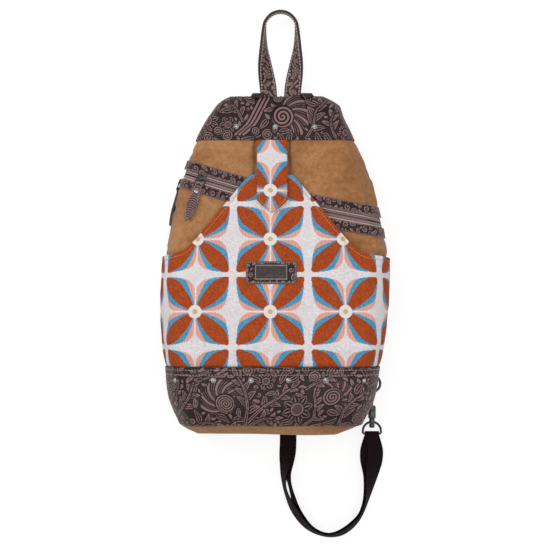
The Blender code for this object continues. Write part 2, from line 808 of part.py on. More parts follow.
def make_studs():
    lift = SEAM + LEATHER + 0.1 * MM
    middle = centre_x(TOP_STUD_HEIGHT)
    for i in range(TOP_STUD_COUNT):
        x = middle + (i - (TOP_STUD_COUNT - 1) / 2) * TOP_STUD_PITCH
        add_stud(f"stud_top_{i + 1}", x, TOP_STUD_HEIGHT, lift)
    for i in range(BOOT_STUD_COUNT):
        x = BOOT_STUD_CENTRE + (i - (BOOT_STUD_COUNT - 1) / 2) * BOOT_STUD_PITCH
        add_stud(f"stud_bottom_{i + 1}", x, BOOT_TOP - BOOT_STUD_DROP, lift)


# Front pocket, tab, snap, patch


def pocket_edge(x):
    """Height of the pocket's mouth: peak, slants and sides, with the bends filleted."""
    corners = ((0.0, POCKET_PEAK_HEIGHT), (POCKET_PEAK_HALF, POCKET_PEAK_HEIGHT),
               (POCKET_FOOT_X, POCKET_FOOT_HEIGHT), (POCKET_SIDE_X, POCKET_SIDE_HEIGHT))

    def straight(at):
        at = abs(at)
        for (x0, h0), (x1, h1) in zip(corners, corners[1:]):
            if at <= x1:
                return h0 + (h1 - h0) * (at - x0) / (x1 - x0)
        return POCKET_SIDE_HEIGHT

    away = abs(x - POCKET_CENTRE)
    reach = min(POCKET_FILLET, 0.35 * abs(away - POCKET_PEAK_HALF) + 4 * MM)
    samples = [straight(x - POCKET_CENTRE + reach * k / 4) for k in range(-4, 5)]
    return sum(samples) / len(samples)


def pocket_top(s):
    height = POCKET_SIDE_HEIGHT
    for _ in range(12):
        height = 0.5 * (height + pocket_edge(skin(s, height).x))
    return height


def pocket_lift(s, height):
    """How far the pocket's cloth stands off the skin: sewn down at its foot and sides."""
    from_foot = rounding(height - BOOT_TOP - 2 * SEAM, POCKET_HEM_RISE)
    from_side = rounding(POCKET_WRAP - abs(s), POCKET_WRAP - 0.78)
    return SEAM + (POCKET_ROOM - SEAM) * from_foot * from_side


def make_pocket():
    foot = BOOT_TOP + 2 * SEAM
    level = SIDE_ROWS[-2]
    near_peak = (0.13, 0.25, 0.33, 0.42, 0.52, 0.62)
    columns = mirrored((0.0,) + near_peak + FRONT_COLUMNS[4:] + (1.0, POCKET_WRAP))

    def lift(s, b):
        return pocket_lift(s, b if b > 0 else level - (pocket_top(s) - level) * b)

    hem = [foot + POCKET_HEM_RISE * share for share in (0.0, 0.06, 0.2, 0.5, 0.9)]
    rows = hem + list(SIDE_ROWS[1:3]) + [-0.35, -0.7, -0.9, -1]
    sheet("front_pocket", toward(level, pocket_top), columns, rows, lift, POCKET_CLOTH, "jacquard")


POCKET_FACE = POCKET_ROOM + POCKET_CLOTH
TAB_LIFT = (
    (TAB_TIP_HEIGHT, POCKET_FACE + 1.2 * MM),
    (SNAP_HEIGHT - SNAP_DIAMETER / 2, POCKET_FACE + 2 * SNAP_PLATE + 3 * SEAM),
    (SNAP_HEIGHT + SNAP_DIAMETER / 2, POCKET_FACE + 2 * SNAP_PLATE + 3 * SEAM),
    (POCKET_PEAK_HEIGHT + 3 * MM, POCKET_FACE + 0.8 * MM),
    (BAND_BOTTOM - 14 * MM, 1.6 * MM),
    (BAND_BOTTOM, SEAM),
)


def on_front(a, b):
    return place(a, b, front_z(a, b))


def make_tab():
    top = BAND_BOTTOM - SEAM
    half = TAB_WIDTH / 2

    def tab(a, height):
        drop = max(0.0, TAB_TIP_HEIGHT + TAB_TIP_TAPER - height) / TAB_TIP_TAPER
        return on_front(TAB_CENTRE + a * half * (1 - 0.62 * drop ** 1.5), height)

    rows = [TAB_TIP_HEIGHT + TAB_TIP_TAPER * k for k in (0, 0.3, 0.65, 1)]
    rows += [SNAP_HEIGHT + 4 * MM, SNAP_HEIGHT + 12 * MM, POCKET_PEAK_HEIGHT, POCKET_PEAK_HEIGHT + 8 * MM]
    rows += [POCKET_PEAK_HEIGHT + 16 * MM, BAND_BOTTOM - 14 * MM, BAND_BOTTOM - 6 * MM, top]
    lift = lambda a, height: follow(TAB_LIFT, height)
    sheet("closure_tab", tab, [-1, -0.5, 0, 0.5, 1], rows, lift, TAB_THICKNESS, "jacquard")


def make_snap():
    normal = outward(on_front, TAB_CENTRE, SNAP_HEIGHT)
    base = on_front(TAB_CENTRE, SNAP_HEIGHT) + normal * (POCKET_FACE + SEAM)
    frame = standing(base, normal)
    radius, boss = SNAP_DIAMETER / 2, SNAP_BOSS_DIAMETER / 2
    hole = boss + SEAM
    socket = [(0, 0), (radius, 0), (radius, SNAP_PLATE), (hole, SNAP_PLATE), (hole, 0.4 * MM), (0, 0.4 * MM)]
    turned("snap_socket", socket, frame, "pale_metal", sides=16)
    low = SNAP_PLATE + SEAM
    stud = [(0, 0.4 * MM + SEAM), (boss, 0.4 * MM + SEAM), (boss, low), (radius, low)]
    stud += [(radius, low + SNAP_PLATE), (0, low + SNAP_PLATE)]
    turned("snap_stud", stud, frame, "pale_metal", sides=16)


def make_patch():
    patch = lambda a, b: on_front(POCKET_CENTRE + a * PATCH_SIZE[0] / 2, PATCH_HEIGHT + b * PATCH_SIZE[1] / 2)
    even = [-1, -0.33, 0.33, 1]
    sheet("patch", patch, [-1, 1], even, POCKET_FACE + SEAM, LEATHER, "leather")
    plate = lambda a, b: on_front(POCKET_CENTRE + a * PLATE_SIZE[0] / 2, PATCH_HEIGHT + b * PLATE_SIZE[1] / 2)
    lift = POCKET_FACE + LEATHER + 2 * SEAM
    sheet("name_plate", plate, [-1, 1], even, lift, PLATE_THICKNESS, "gunmetal")


# Zips


def make_front_zip():
    gap = ZIP_GAP / 2 / math.cos(SLOPE)
    for name, side in (("upper", 1), ("lower", -1)):
        near, far = side * gap, side * (gap + WELT_WIDTH)

        def welt(s, b, a=near, c=far):
            return skin(s, zip_height_at(s, a + (c - a) * b))

        columns = mirrored(FRONT_COLUMNS + (FRONT_END,))
        sheet("zip_welt_" + name, welt, columns, [0, 0.5, 1], SEAM, WELT, "leather")
        rings = []
        for s in mirrored(FRONT_COLUMNS):
            ring = []
            for across, lift in tape_profile(TAPE_WIDTH):
                height = zip_height_at(s, side * across)
                ring.append(skin(s, height) + outward(skin, s, height) * (TAPE_FOOT + lift))
            rings.append(ring)
        loft("zip_tape_" + name, rings, "tape")


TAPE_FOOT = -CANVAS - TAPE_DROP - TAPE_THICKNESS


def tape_profile(width):
    """A tape's section: distance from the zip's middle, and height over the tape's foot."""
    near = BEAD_GAP / 2
    bead = near + BEAD_WIDTH
    top = TAPE_THICKNESS + BEAD_HEIGHT
    low = [(near, 0.0), (bead, 0.0), (near + width, 0.0)]
    return low + [(near + width, TAPE_THICKNESS), (bead + 0.3 * MM, TAPE_THICKNESS), (bead, top), (near, top)]


def side_zip_arc():
    """Centre and radius of the side zip's arc, level with the floor, outside the gusset."""
    heights = (SIDE_ZIP_TOP, (SIDE_ZIP_TOP + SIDE_ZIP_BOTTOM) / 2, SIDE_ZIP_BOTTOM)
    points = [gusset(h / BODY_HEIGHT, side_zip_v(h / BODY_HEIGHT)) for h in heights]
    (ax, ay), (bx, by), (cx, cy) = [(p.x, p.y) for p in points]
    d = 2 * (ax * (by - cy) + bx * (cy - ay) + cx * (ay - by))
    a2, b2, c2 = ax * ax + ay * ay, bx * bx + by * by, cx * cx + cy * cy
    x = (a2 * (by - cy) + b2 * (cy - ay) + c2 * (ay - by)) / d
    y = (a2 * (cx - bx) + b2 * (ax - cx) + c2 * (bx - ax)) / d
    return Vector((x, y, SIDE_ZIP_Z)), math.hypot(ax - x, ay - y)


SIDE_CENTRE, SIDE_RADIUS = side_zip_arc()


def side_zip_point(angle, across, lift):
    """A point of the side zip: angle along its arc, across it, and out from it.

    The zip leans with the gusset, and turning about its centre still carries it along itself."""
    lift -= SIDE_ZIP_SINK
    radius = SIDE_RADIUS + across * math.sin(SIDE_ZIP_LEAN) + lift * math.cos(SIDE_ZIP_LEAN)
    z = SIDE_ZIP_Z + across * math.cos(SIDE_ZIP_LEAN) - lift * math.sin(SIDE_ZIP_LEAN)
    return Vector((SIDE_CENTRE.x - radius * math.cos(angle), SIDE_CENTRE.y + radius * math.sin(angle), z))


def gusset_over_arc(angle, across):
    """How far the gusset's skin stands out from the side zip's arc."""
    height = REST_HEIGHT + SIDE_CENTRE.y + SIDE_RADIUS * math.sin(angle)
    level = (SIDE_ZIP_Z + across * math.cos(SIDE_ZIP_LEAN)) / rim_z(height)
    point = gusset(height / BODY_HEIGHT, math.asin(1 - level) * 2 / math.pi)
    reach = math.hypot(point.x - SIDE_CENTRE.x, point.y - SIDE_CENTRE.y)
    return reach - SIDE_RADIUS - across * math.sin(SIDE_ZIP_LEAN)


def side_angle(height):
    return math.asin((height - REST_HEIGHT - SIDE_CENTRE.y) / SIDE_RADIUS)


def side_angles(margin):
    return steps_between(side_angle(SIDE_ZIP_BOTTOM) + margin, side_angle(SIDE_ZIP_TOP) - margin, 12)


def side_zip_band(name, width, low, high):
    """A curved block along the side zip, used to cut its slot."""
    corners = ((-width / 2, low), (width / 2, low), (width / 2, high), (-width / 2, high))
    return loft(name, [[side_zip_point(angle, a, r) for a, r in corners] for angle in side_angles(0)], "tape")


def make_side_zip():
    for name, side in (("front", 1), ("back", -1)):
        rings = []
        for angle in side_angles(SEAM / SIDE_RADIUS):
            ring = []
            for across, lift in tape_profile(SIDE_TAPE_WIDTH):
                if across > SLIDER_WIDTH / 2:
                    lift += SIDE_ZIP_SINK + gusset_over_arc(angle, side * across) - 0.5 * MM
                ring.append(side_zip_point(angle, side * across, TAPE_FOOT + lift))
            rings.append(ring)
        loft("side_zip_tape_" + name, rings, "tape")


def slider_section(foot):
    """I-shaped section of a slider, in across and out; foot is the tape's lower face."""
    half, post = SLIDER_WIDTH / 2, SLIDER_POST / 2
    low = foot - SEAM
    top = foot + TAPE_THICKNESS + BEAD_HEIGHT + SEAM
    lip = top - 1.0 * MM
    right = [(half - 0.6 * MM, low - 0.8 * MM), (half - 0.6 * MM, low), (post, low), (post, top)]
    right += [(half - 0.8 * MM, top), (half - 0.8 * MM, lip), (half, lip), (half, top + SLIDER_PLATE)]
    return right + [(-x, z) for x, z in reversed(right)], top + SLIDER_PLATE


SIDE_ON = ((0, 0, 1, 0), (1, 0, 0, 0), (0, 1, 0, 0), (0, 0, 0, 1))


def side_on(frame, width):
    """A frame whose outlines are drawn in its second and third axes, centred on its first."""
    return frame @ Matrix.Translation((-width / 2, 0, 0)) @ Matrix(SIDE_ON)


def make_slider(names, frame, hang):
    """Slider, wire loop, leather pull and rivet.

    frame has the axes of travel, across and out; the pull hangs towards hang's negative second
    axis and swings about its first."""
    slider_name, puller_name, tab_name, rivet_name = names
    section, deck = slider_section(TAPE_FOOT)
    slider = prism(slider_name, section, SLIDER_LENGTH, side_on(frame, SLIDER_LENGTH), "gunmetal")
    inner, outer = deck + BRIDGE_HEIGHT - BRIDGE_THICKNESS, deck + BRIDGE_HEIGHT
    half, leg = BRIDGE_SPAN / 2, BRIDGE_SPAN / 2 - BRIDGE_THICKNESS
    sunk = deck - SLIDER_PLATE / 2
    right = [(leg, inner), (leg, sunk), (half, sunk), (half, outer - 1.2 * MM), (half - 1.2 * MM, outer)]
    arch = right + [(-x, z) for x, z in reversed(right)]
    bridge = prism(slider_name + "_bridge_guide", arch, BRIDGE_WIDTH, side_on(hang, BRIDGE_WIDTH), "gunmetal")
    combine(slider, bridge, "UNION")

    radius = PULLER_WIRE / 2
    level = SEAM + WELT + SEAM + PULL_PLY + SEAM + radius
    bend = 0.9 * MM
    half, far = PULLER_WIDTH / 2, -PULLER_LENGTH
    loop = [(bend - half, 0), (half - bend, 0), (half, -bend), (half, far + bend), (half - bend, far)]
    loop += [(bend - half, far), (-half, far + bend), (-half, -bend)]
    make_wire_loop(puller_name, [hang @ Vector((u, v, level)) for u, v in loop], radius)
    make_pull(tab_name, hang, level)
    turn = hang.to_3x3()
    top = level - radius - SEAM + PULL_PLY + SEAM
    rivet = frame_at(hang @ Vector((0, far - RIVET_DROP, top)), turn.col[0], turn.col[1])
    r = RIVET_DIAMETER / 2
    profile = [(0, 0), (r, 0), (r, 0.3 * MM), (0.6 * r, 0.9 * MM), (0, 1.1 * MM)]
    turned(rivet_name, profile, rivet, "pale_metal", sides=12)
    for name in (puller_name, tab_name, rivet_name):
        set_origin(bpy.data.objects[name], hang @ Vector((0, 0, level)))


def make_wire_loop(name, points, radius):
    """A closed loop of wire in one plane, its section square to that plane."""
    count, sides = len(points), 8
    flat = (points[1] - points[0]).cross(points[2] - points[1]).normalized()
    rings = []
    for i, point in enumerate(points):
        before = (point - points[i - 1]).normalized()
        after = (points[(i + 1) % count] - point).normalized()
        across = flat.cross((before + after).normalized())
        rings.append([point + across * radius * math.cos(2 * math.pi * k / sides)
                      + flat * radius * math.sin(2 * math.pi * k / sides) for k in range(sides)])
    return loft(name, rings, "gunmetal", closed=True)


def make_pull(name, hang, level):
    """A leather strip folded round the loop's far wire, its two plies sewn flat below that."""
    inner = PULLER_WIRE / 2 + SEAM
    outer = inner + PULL_PLY
    start = -PULLER_LENGTH
    end = start - PULL_LENGTH
    low = level - outer
    high = low + 2 * PULL_PLY
    over = [(start + outer * math.sin(a), level + outer * math.cos(a)) for a in (2.8, 2.2, 1.57, 0.9, 0.2)]
    outline = [(start, low)] + over + [(start - 2 * MM, level + outer - 0.4 * MM), (start - 4.5 * MM, high)]
    outline += [(end, high), (end, low)]
    strip = prism(name, outline, PULL_WIDTH, side_on(hang, PULL_WIDTH), "leather")
    neck = PULL_NECK_WIDTH / PULL_WIDTH
    shares = [(0.0, neck), (0.1, neck), (0.62, 1.0), (0.8, 0.8), (0.92, 0.42), (1.0, 0.08)]
    below = start + 2 * outer
    right = [(PULL_WIDTH / 2 * share, below + (end - below) * at) for at, share in shares]
    plan = right + [(-u, v) for u, v in reversed(right)]
    block = hang @ Matrix.Translation((0, 0, level - PULL_WIDTH))
    combine(strip, prism(name + "_plan_guide", plan, 2 * PULL_WIDTH, block, "leather"), "INTERSECT")
    eye = Matrix(((0, 0, 1, 0), (1, 0, 0, start), (0, 1, 0, level), (0, 0, 0, 1)))
    hole = [(0, -PULL_WIDTH), (inner, -PULL_WIDTH), (inner, PULL_WIDTH), (0, PULL_WIDTH)]
    combine(strip, turned(name + "_fold_guide", hole, hang @ eye, "leather", 12), "DIFFERENCE")


def front_slider_frame():
    """Travel, across and out where the front slider stands at rest."""
    x = ZIP_START_X
    origin = on_front(x, zip_height(x))
    normal = Vector((0, math.sin(SLOPE), math.cos(SLOPE)))
    ahead = on_front(x + 1 * MM, zip_height(x + 1 * MM)) - on_front(x - 1 * MM, zip_height(x - 1 * MM))
    return frame_at(origin, ahead.normalized(), normal.cross(ahead.normalized()))


def side_slider_frame():
    angle = side_angle(SIDE_ZIP_START)
    origin = side_zip_point(angle, 0, 0)
    normal = (side_zip_point(angle, 0, MM) - origin).normalized()
    travel = Vector((-math.sin(angle), -math.cos(angle), 0))
    return frame_at(origin, travel, normal.cross(travel))


def make_sliders():
    frame = front_slider_frame()
    make_slider(("zip_slider", "zip_puller", "pull_tab", "pull_rivet"), frame, frame)
    frame = side_slider_frame()
    turn = frame.to_3x3()
    down = frame_at(frame.translation, turn.col[1], -turn.col[0])
    names = ("side_zip_slider", "side_zip_puller", "side_pull_tab", "side_pull_rivet")
    make_slider(names, frame, down)


# Handle


def make_handle():
    foot = BODY_HEIGHT + LEATHER - SEAM
    top = foot + HANDLE_RISE - HANDLE_THICKNESS / 2
    wide, narrow = HANDLE_SPAN / 2, HANDLE_FOOT_SPAN / 2
    z = rim_z(BODY_HEIGHT) + 1 * MM
    crown = top - wide
    left = [(-narrow, foot, 0), (-narrow - 0.8 * MM, foot + 10 * MM, 8)]
    left += [(-wide + 1.5 * MM, foot + 32 * MM, 38), (-wide, foot + 54 * MM, 68)]
    left.append((-wide + 0.3 * MM, crown, 84))
    arch = [(-wide * math.cos(a), crown + wide * math.sin(a), 90) for a in (0.5, 1.05, math.pi / 2)]
    half = left + arch
    right = [(-x, h, roll) for x, h, roll in reversed(half[:-1])]
    stations = [(HANDLE_CENTRE + x, h, z, math.radians(roll)) for x, h, roll in half + right]
    path = smooth_path(stations, 7 * MM)
    points = [place(x, h, z) for x, h, z, roll in path]
    widths = [HANDLE_WIDTH] * len(path)
    make_twisted("handle_loop", points, [p[3] for p in path], widths, HANDLE_THICKNESS, "leather")


def make_twisted(name, points, rolls, widths, thickness, finish):
    """A ribbon whose width turns from level, at roll 0, to upright."""
    last = len(points) - 1
    directions = []
    for i, roll in enumerate(rolls):
        along = points[min(i + 1, last)] - points[max(i - 1, 0)]
        level = Vector((-along.y, along.x, 0))
        level = level.normalized() if level.length > 1e-6 else Vector((1, 0, 0))
        directions.append(level * math.cos(roll) + Vector((0, 0, math.sin(roll))))
    return ribbon(name, points, directions, widths, thickness, finish)


# Strap, adjuster and anchor


def strap_middle():
    """The doubled strap's middle line from the back to the hook: x, height, z, roll, gap."""
    flat = SEAM + WEBBING + PLY_GAP / 2

    def station(x, height, roll, gap=0.0, rise=0.0):
        stand = 0.5 * WEBBING_WIDTH * math.sin(math.radians(roll))
        return (x * MM, height * MM, flat + stand + rise * MM, math.radians(roll), gap * MM)

    under = STRAP_X / MM
    return [
        station(under, (SLIDE_HEIGHT - 22 * MM) / MM, 0), station(under, 120, 0),
        station(under, 20, 0), station(under, -6, 0),
        station(16.0, -20, 14), station(14.8, -35, 46, 1.0), station(13.7, -48, 70, 3.0),
        station(15.3, -61, 80, 4.6), station(19.2, -74, 76, 4.0), station(24.4, -87, 68, 1.6),
        station(33.0, -100, 68, 0.4), station(44.0, -110, 74), station(59.8, -115.6, 82),
        station(75.0, -113, 86, 0.4), station(88.0, -104, 84, 0.6), station(97.5, -92, 82, 0.4),
        station(103.0, -77, 76, 0.4), station(106.5, -61, 60, 0.6), station(108.6, -47, 40, 1.0, 1),
        station(109.4, -33, 18, 1.6, 3), station(109.8, -18, 4, 2.2, 5.6),
    ]


def slide_levels():
    """Heights over the floor at the adjuster: lower ply, upper ply, and the slide's own bars."""
    lower = SEAM + WEBBING / 2
    upper = lower + WEBBING + PLY_GAP
    return lower, upper, upper + WEBBING / 2 + SEAM + SLIDE_THICKNESS / 2


def strap_run():
    """From the anchor down under the slide's end bar, over its centre bar and out below."""
    lower, upper, bar = slide_levels()
    anchor = SEAM + LEATHER + SEAM + WEBBING / 2
    over = bar + SLIDE_THICKNESS / 2 + SEAM + WEBBING * 1.5 + SEAM
    slot = SLIDE_SIZE[1] / 2 - SLIDE_BAR - 0.6 * MM
    top = SLIDE_HEIGHT
    near_top = over - 0.6 * MM
    run = [(ANCHOR_HEIGHT + 10 * MM, anchor), (ANCHOR_HEIGHT - 16 * MM, anchor), (top + 26 * MM, upper)]
    run += [(top + 15 * MM, upper), (top + slot, upper), (top + slot / 2, near_top), (top + 1.6 * MM, over)]
    run += [(top - 1.6 * MM, over), (top - slot / 2, near_top), (top - slot, upper), (top - 15 * MM, upper)]
    return [place(STRAP_X, height, z) for height, z in run]


def strap_tail():
    """The lower ply's end, sewn round the slide's centre bar."""
    lower, upper, bar = slide_levels()
    half = SLIDE_THICKNESS / 2 + SEAM + WEBBING / 2
    side = SLIDE_BAR / 2 + 2 * SEAM + WEBBING / 2
    top = SLIDE_HEIGHT
    end = [(top - 15 * MM, lower), (top - 9.5 * MM, lower), (top - 4.5 * MM, lower + 0.6 * MM),
           (top - 1.2 * MM, bar - half), (top + 1.1 * MM, bar - half), (top + side, bar - 0.4 * MM),
           (top + side, bar + 0.4 * MM), (top + 1.1 * MM, bar + half), (top - 1.4 * MM, bar + half)]
    return [place(STRAP_X, height, z) for height, z in end]


def strap_plies():
    """The doubled part's two plies and their width directions, from the slide to the hook."""
    middle = smooth_path(strap_middle(), 7 * MM)
    points = [place(p[0], p[1], p[2]) for p in middle]
    last = len(points) - 1
    upper, lower, across = [], [], []
    for i, (station, point) in enumerate(zip(middle, points)):
        along = (points[min(i + 1, last)] - points[max(i - 1, 0)]).normalized()
        level = Vector((-along.y, along.x, 0)).normalized()
        across.append(level * math.cos(station[3]) + Vector((0, 0, math.sin(station[3]))))
        up = along.cross(across[-1]).normalized() * ((WEBBING + PLY_GAP + station[4]) / 2)
        upper.append(point + up)
        lower.append(point - up)
    if upper[0].z < lower[0].z:
        upper, lower = lower, upper
    return upper, lower, across


def make_strap():
    upper, lower, across = strap_plies()
    eye_bar = place(HOOK_X, EYE_TOP - EYE_HEIGHT + EYE_WIRE / 2, HOOK_Z)
    wrap = EYE_WIRE / 2 + SEAM + WEBBING / 2
    turn = [eye_bar + Vector((0, wrap * math.cos(a), wrap * math.sin(a)))
            for a in steps_between(0.8 * math.pi, -0.8 * math.pi, 7)]
    run, tail = strap_run(), strap_tail()
    points = run + upper + turn + lower[::-1] + tail
    level = Vector((1, 0, 0))
    directions = [level] * len(run) + across + [-level] * len(turn) + across[::-1] + [level] * len(tail)
    first = len(run) + len(upper)
    widths = []
    for i in range(len(points)):
        beyond = max(first - i, i - first - len(turn) + 1, 0)
        widths.append(WEBBING_WIDTH * (EYE_GATHER + (1 - EYE_GATHER) * min(beyond / 3, 1)))
    ribbon("strap", points, directions, widths, WEBBING, "webbing")


def make_strap_hardware():
    width, length = SLIDE_SIZE
    half_w, half_l = width / 2, length / 2
    frame = Matrix.Translation(place(STRAP_X, SLIDE_HEIGHT, slide_levels()[2] - SLIDE_THICKNESS / 2))
    slide = prism("strap_slide", rectangle(half_w, half_l), SLIDE_THICKNESS, frame, "gunmetal")
    inner = half_w - SLIDE_BAR
    for name, side in (("upper", 1), ("lower", -1)):
        near, far = side * SLIDE_BAR / 2, side * (half_l - SLIDE_BAR)
        slot = [(-inner, near), (inner, near), (inner, far), (-inner, far)]
        below = frame @ Matrix.Translation((0, 0, -MM))
        cutter = prism(f"slide_slot_{name}_guide", slot, 4 * MM, below, "gunmetal")
        combine(slide, cutter, "DIFFERENCE")
    frame = Matrix.Translation(place(STRAP_X, ANCHOR_HEIGHT, SEAM))
    prism("strap_anchor", rectangle(ANCHOR_SIZE[0] / 2, ANCHOR_SIZE[1] / 2), LEATHER, frame, "leather")


def rectangle(half_w, half_l):
    return [(-half_w, -half_l), (half_w, -half_l), (half_w, half_l), (-half_w, half_l)]


# D-ring and snap hook


def make_d_ring():
    radius, bar = D_RING_RADIUS, D_RING_BAR_X
    centre = D_RING_REACH - radius - D_RING_WIRE / 2
    bow = [(centre + radius * math.cos(a), radius * math.sin(a))
           for a in steps_between(-math.pi / 2, math.pi / 2, 12)]
    flat = [(bar + 1 * MM, radius), (bar, radius - 1 * MM), (bar, 1 * MM - radius), (bar + 1 * MM, -radius)]
    loop = [place(x, D_RING_HEIGHT + h, HOOK_Z) for x, h in bow + flat]
    ring = make_wire_loop("d_ring", loop, D_RING_WIRE / 2)
    set_origin(ring, place(bar, D_RING_HEIGHT, HOOK_Z))


def make_d_tab():
    """A leather strip sewn towards the back seam, taken round the D-ring's bar."""
    radius = D_RING_WIRE / 2 + SEAM + D_TAB_PLY / 2
    lift = SEAM + LEATHER + SEAM + D_TAB_PLY / 2
    t = 3 - D_RING_HEIGHT / BODY_HEIGHT
    bar = place(D_RING_BAR_X, D_RING_HEIGHT, HOOK_Z)
    sewn = [gusset(t, v) + outward(gusset, t, v) * lift for v in (0.74, 0.69)]
    points = [Vector((p.x, bar.y, p.z)) for p in sewn]
    points += [bar + Vector((radius * math.cos(a), 0, radius * math.sin(a)))
               for a in (-2.0, -1.4, -0.8, -0.2, 0.4, 1.0, 1.6, 2.1)]
    count = len(points)
    ribbon("d_ring_tab", points, [Vector((0, 1, 0))] * count, [D_TAB_WIDTH] * count, D_TAB_PLY, "leather")


def make_hook():
    barrel_top = BARREL_BOTTOM + BARREL_LENGTH
    up = Vector((0, 1, 0))
    axis = frame_at(place(HOOK_X, BARREL_BOTTOM, HOOK_Z), Vector((0, 0, 1)), Vector((1, 0, 0)))
    r = BARREL_DIAMETER / 2
    bore = STEM_DIAMETER / 2 + FIT
    profile = [(bore, 0), (r - 0.6 * MM, 0), (r, 0.8 * MM), (r, BARREL_LENGTH - 1.5 * MM)]
    profile += [(r - 1.2 * MM, BARREL_LENGTH), (0, BARREL_LENGTH), (0, 6 * MM), (bore, 6 * MM), (bore, 0)]
    barrel = bored_barrel("hook_body", profile[:-1], axis)
    low, high = HOOK_Z - JAW_RADIUS, HOOK_Z + JAW_RADIUS
    jaw = [(barrel_top - 5 * MM, low + 0.8 * MM), (barrel_top, low), (JAW_HEIGHT, low)]
    jaw += [(JAW_HEIGHT + JAW_RADIUS * math.sin(a), HOOK_Z - JAW_RADIUS * math.cos(a))
            for a in steps_between(0, math.pi, 8)[1:]]
    jaw.append((JAW_HEIGHT - NOSE_LENGTH, high))
    arm = wire("hook_arm_guide", [place(HOOK_X, h, z) for h, z in jaw], JAW_WIRE / 2, "gunmetal", sides=10)
    combine(barrel, arm, "UNION")
    slot_width = GATE_THICKNESS + 2 * SEAM
    pivot = barrel_top - GATE_PIVOT_DROP
    slot = [(pivot - 3.2 * MM, HOOK_Z - 0.6 * MM), (barrel_top + 2 * MM, HOOK_Z - 0.6 * MM),
            (barrel_top + 2 * MM, HOOK_Z + 3 * r), (pivot - 3.2 * MM, HOOK_Z + 3 * r)]
    across = frame_at(place(HOOK_X - slot_width / 2, 0, 0), up, Vector((0, 0, 1)))
    combine(barrel, prism("gate_slot_guide", slot, slot_width, across, "gunmetal"), "DIFFERENCE")
    pin_frame = frame_at(place(HOOK_X, pivot, high - 2.2 * MM), up, Vector((0, 0, 1)))
    hole_r = GATE_PIN_DIAMETER / 2 + FIT
    hole = [(0, -8 * MM), (hole_r, -8 * MM), (hole_r, 8 * MM), (0, 8 * MM)]
    combine(barrel, turned("gate_hole_guide", hole, pin_frame, "gunmetal", 12), "DIFFERENCE")
    pin_half = 3.3 * MM
    pin_r = GATE_PIN_DIAMETER / 2
    turned("hook_gate_pin", [(0, -pin_half), (pin_r, -pin_half), (pin_r, pin_half), (0, pin_half)], pin_frame,
           "gunmetal", 12)
    make_gate(pivot, high, pin_frame, hole)
    make_swivel(bore)


def bored_barrel(name, profile, frame):
    """A turned barrel with a blind bore in its lower end."""
    mesh = bmesh.new()
    sides = 16
    rings = []
    for radius, height in profile:
        if radius == 0:
            rings.append([mesh.verts.new((0, 0, height))])
        else:
            rings.append([mesh.verts.new((radius * math.cos(2 * math.pi * k / sides),
                                          radius * math.sin(2 * math.pi * k / sides), height))
                          for k in range(sides)])
    pairs = [(a, b) for a, b in zip(rings, rings[1:]) if len(a) + len(b) > 2] + [(rings[-1], rings[0])]
    for before, after in pairs:
        for k in range(sides):
            n = (k + 1) % sides
            corners = [before[k % len(before)], before[n % len(before)]]
            corners += [after[n % len(after)], after[k % len(after)]]
            mesh.faces.new(list(dict.fromkeys(corners)))
    bmesh.ops.transform(mesh, matrix=frame, verts=mesh.verts)
    return finish_object(name, mesh, "gunmetal")


def make_gate(pivot, high, pin_frame, hole):
    """A flat lever: it closes on the nose, and its thumb piece stands out of the barrel."""
    across = frame_at(place(HOOK_X - GATE_THICKNESS / 2, 0, 0), Vector((0, 1, 0)), Vector((0, 0, 1)))
    tip = JAW_HEIGHT - NOSE_LENGTH - 0.4 * MM
    half = GATE_WIDTH / 2
    z = high - 2.2 * MM
    thumb = high + 1.9 * MM
    outline = [(tip, high - half), (tip, high + half), (pivot + 3 * MM, high + half)]
    outline += [(pivot + 1 * MM, thumb), (pivot - 2.2 * MM, thumb), (pivot - 2.4 * MM, high + 0.4 * MM)]
    outline += [(pivot - 1.9 * MM, z - 0.6 * MM), (pivot - 0.6 * MM, z - 1.9 * MM)]
    outline += [(pivot + 1.2 * MM, z - 1.7 * MM), (pivot + 3.4 * MM, high - half)]
    gate = prism("hook_gate", outline, GATE_THICKNESS, across, "gunmetal")
    combine(gate, turned("gate_bore_guide", hole, pin_frame, "gunmetal", 12), "DIFFERENCE")
    set_origin(gate, pin_frame.translation)
    spring = [(pivot - 2.6 * MM, z - 3.4 * MM), (pivot + 0.6 * MM, z - 3.2 * MM)]
    spring.append((pivot + 2.8 * MM, z - 2.4 * MM))
    points = [place(HOOK_X, h, zz) for h, zz in spring]
    ribbon("gate_spring", points, [Vector((1, 0, 0))] * 3, [2 * MM] * 3, 0.3 * MM, "gunmetal")


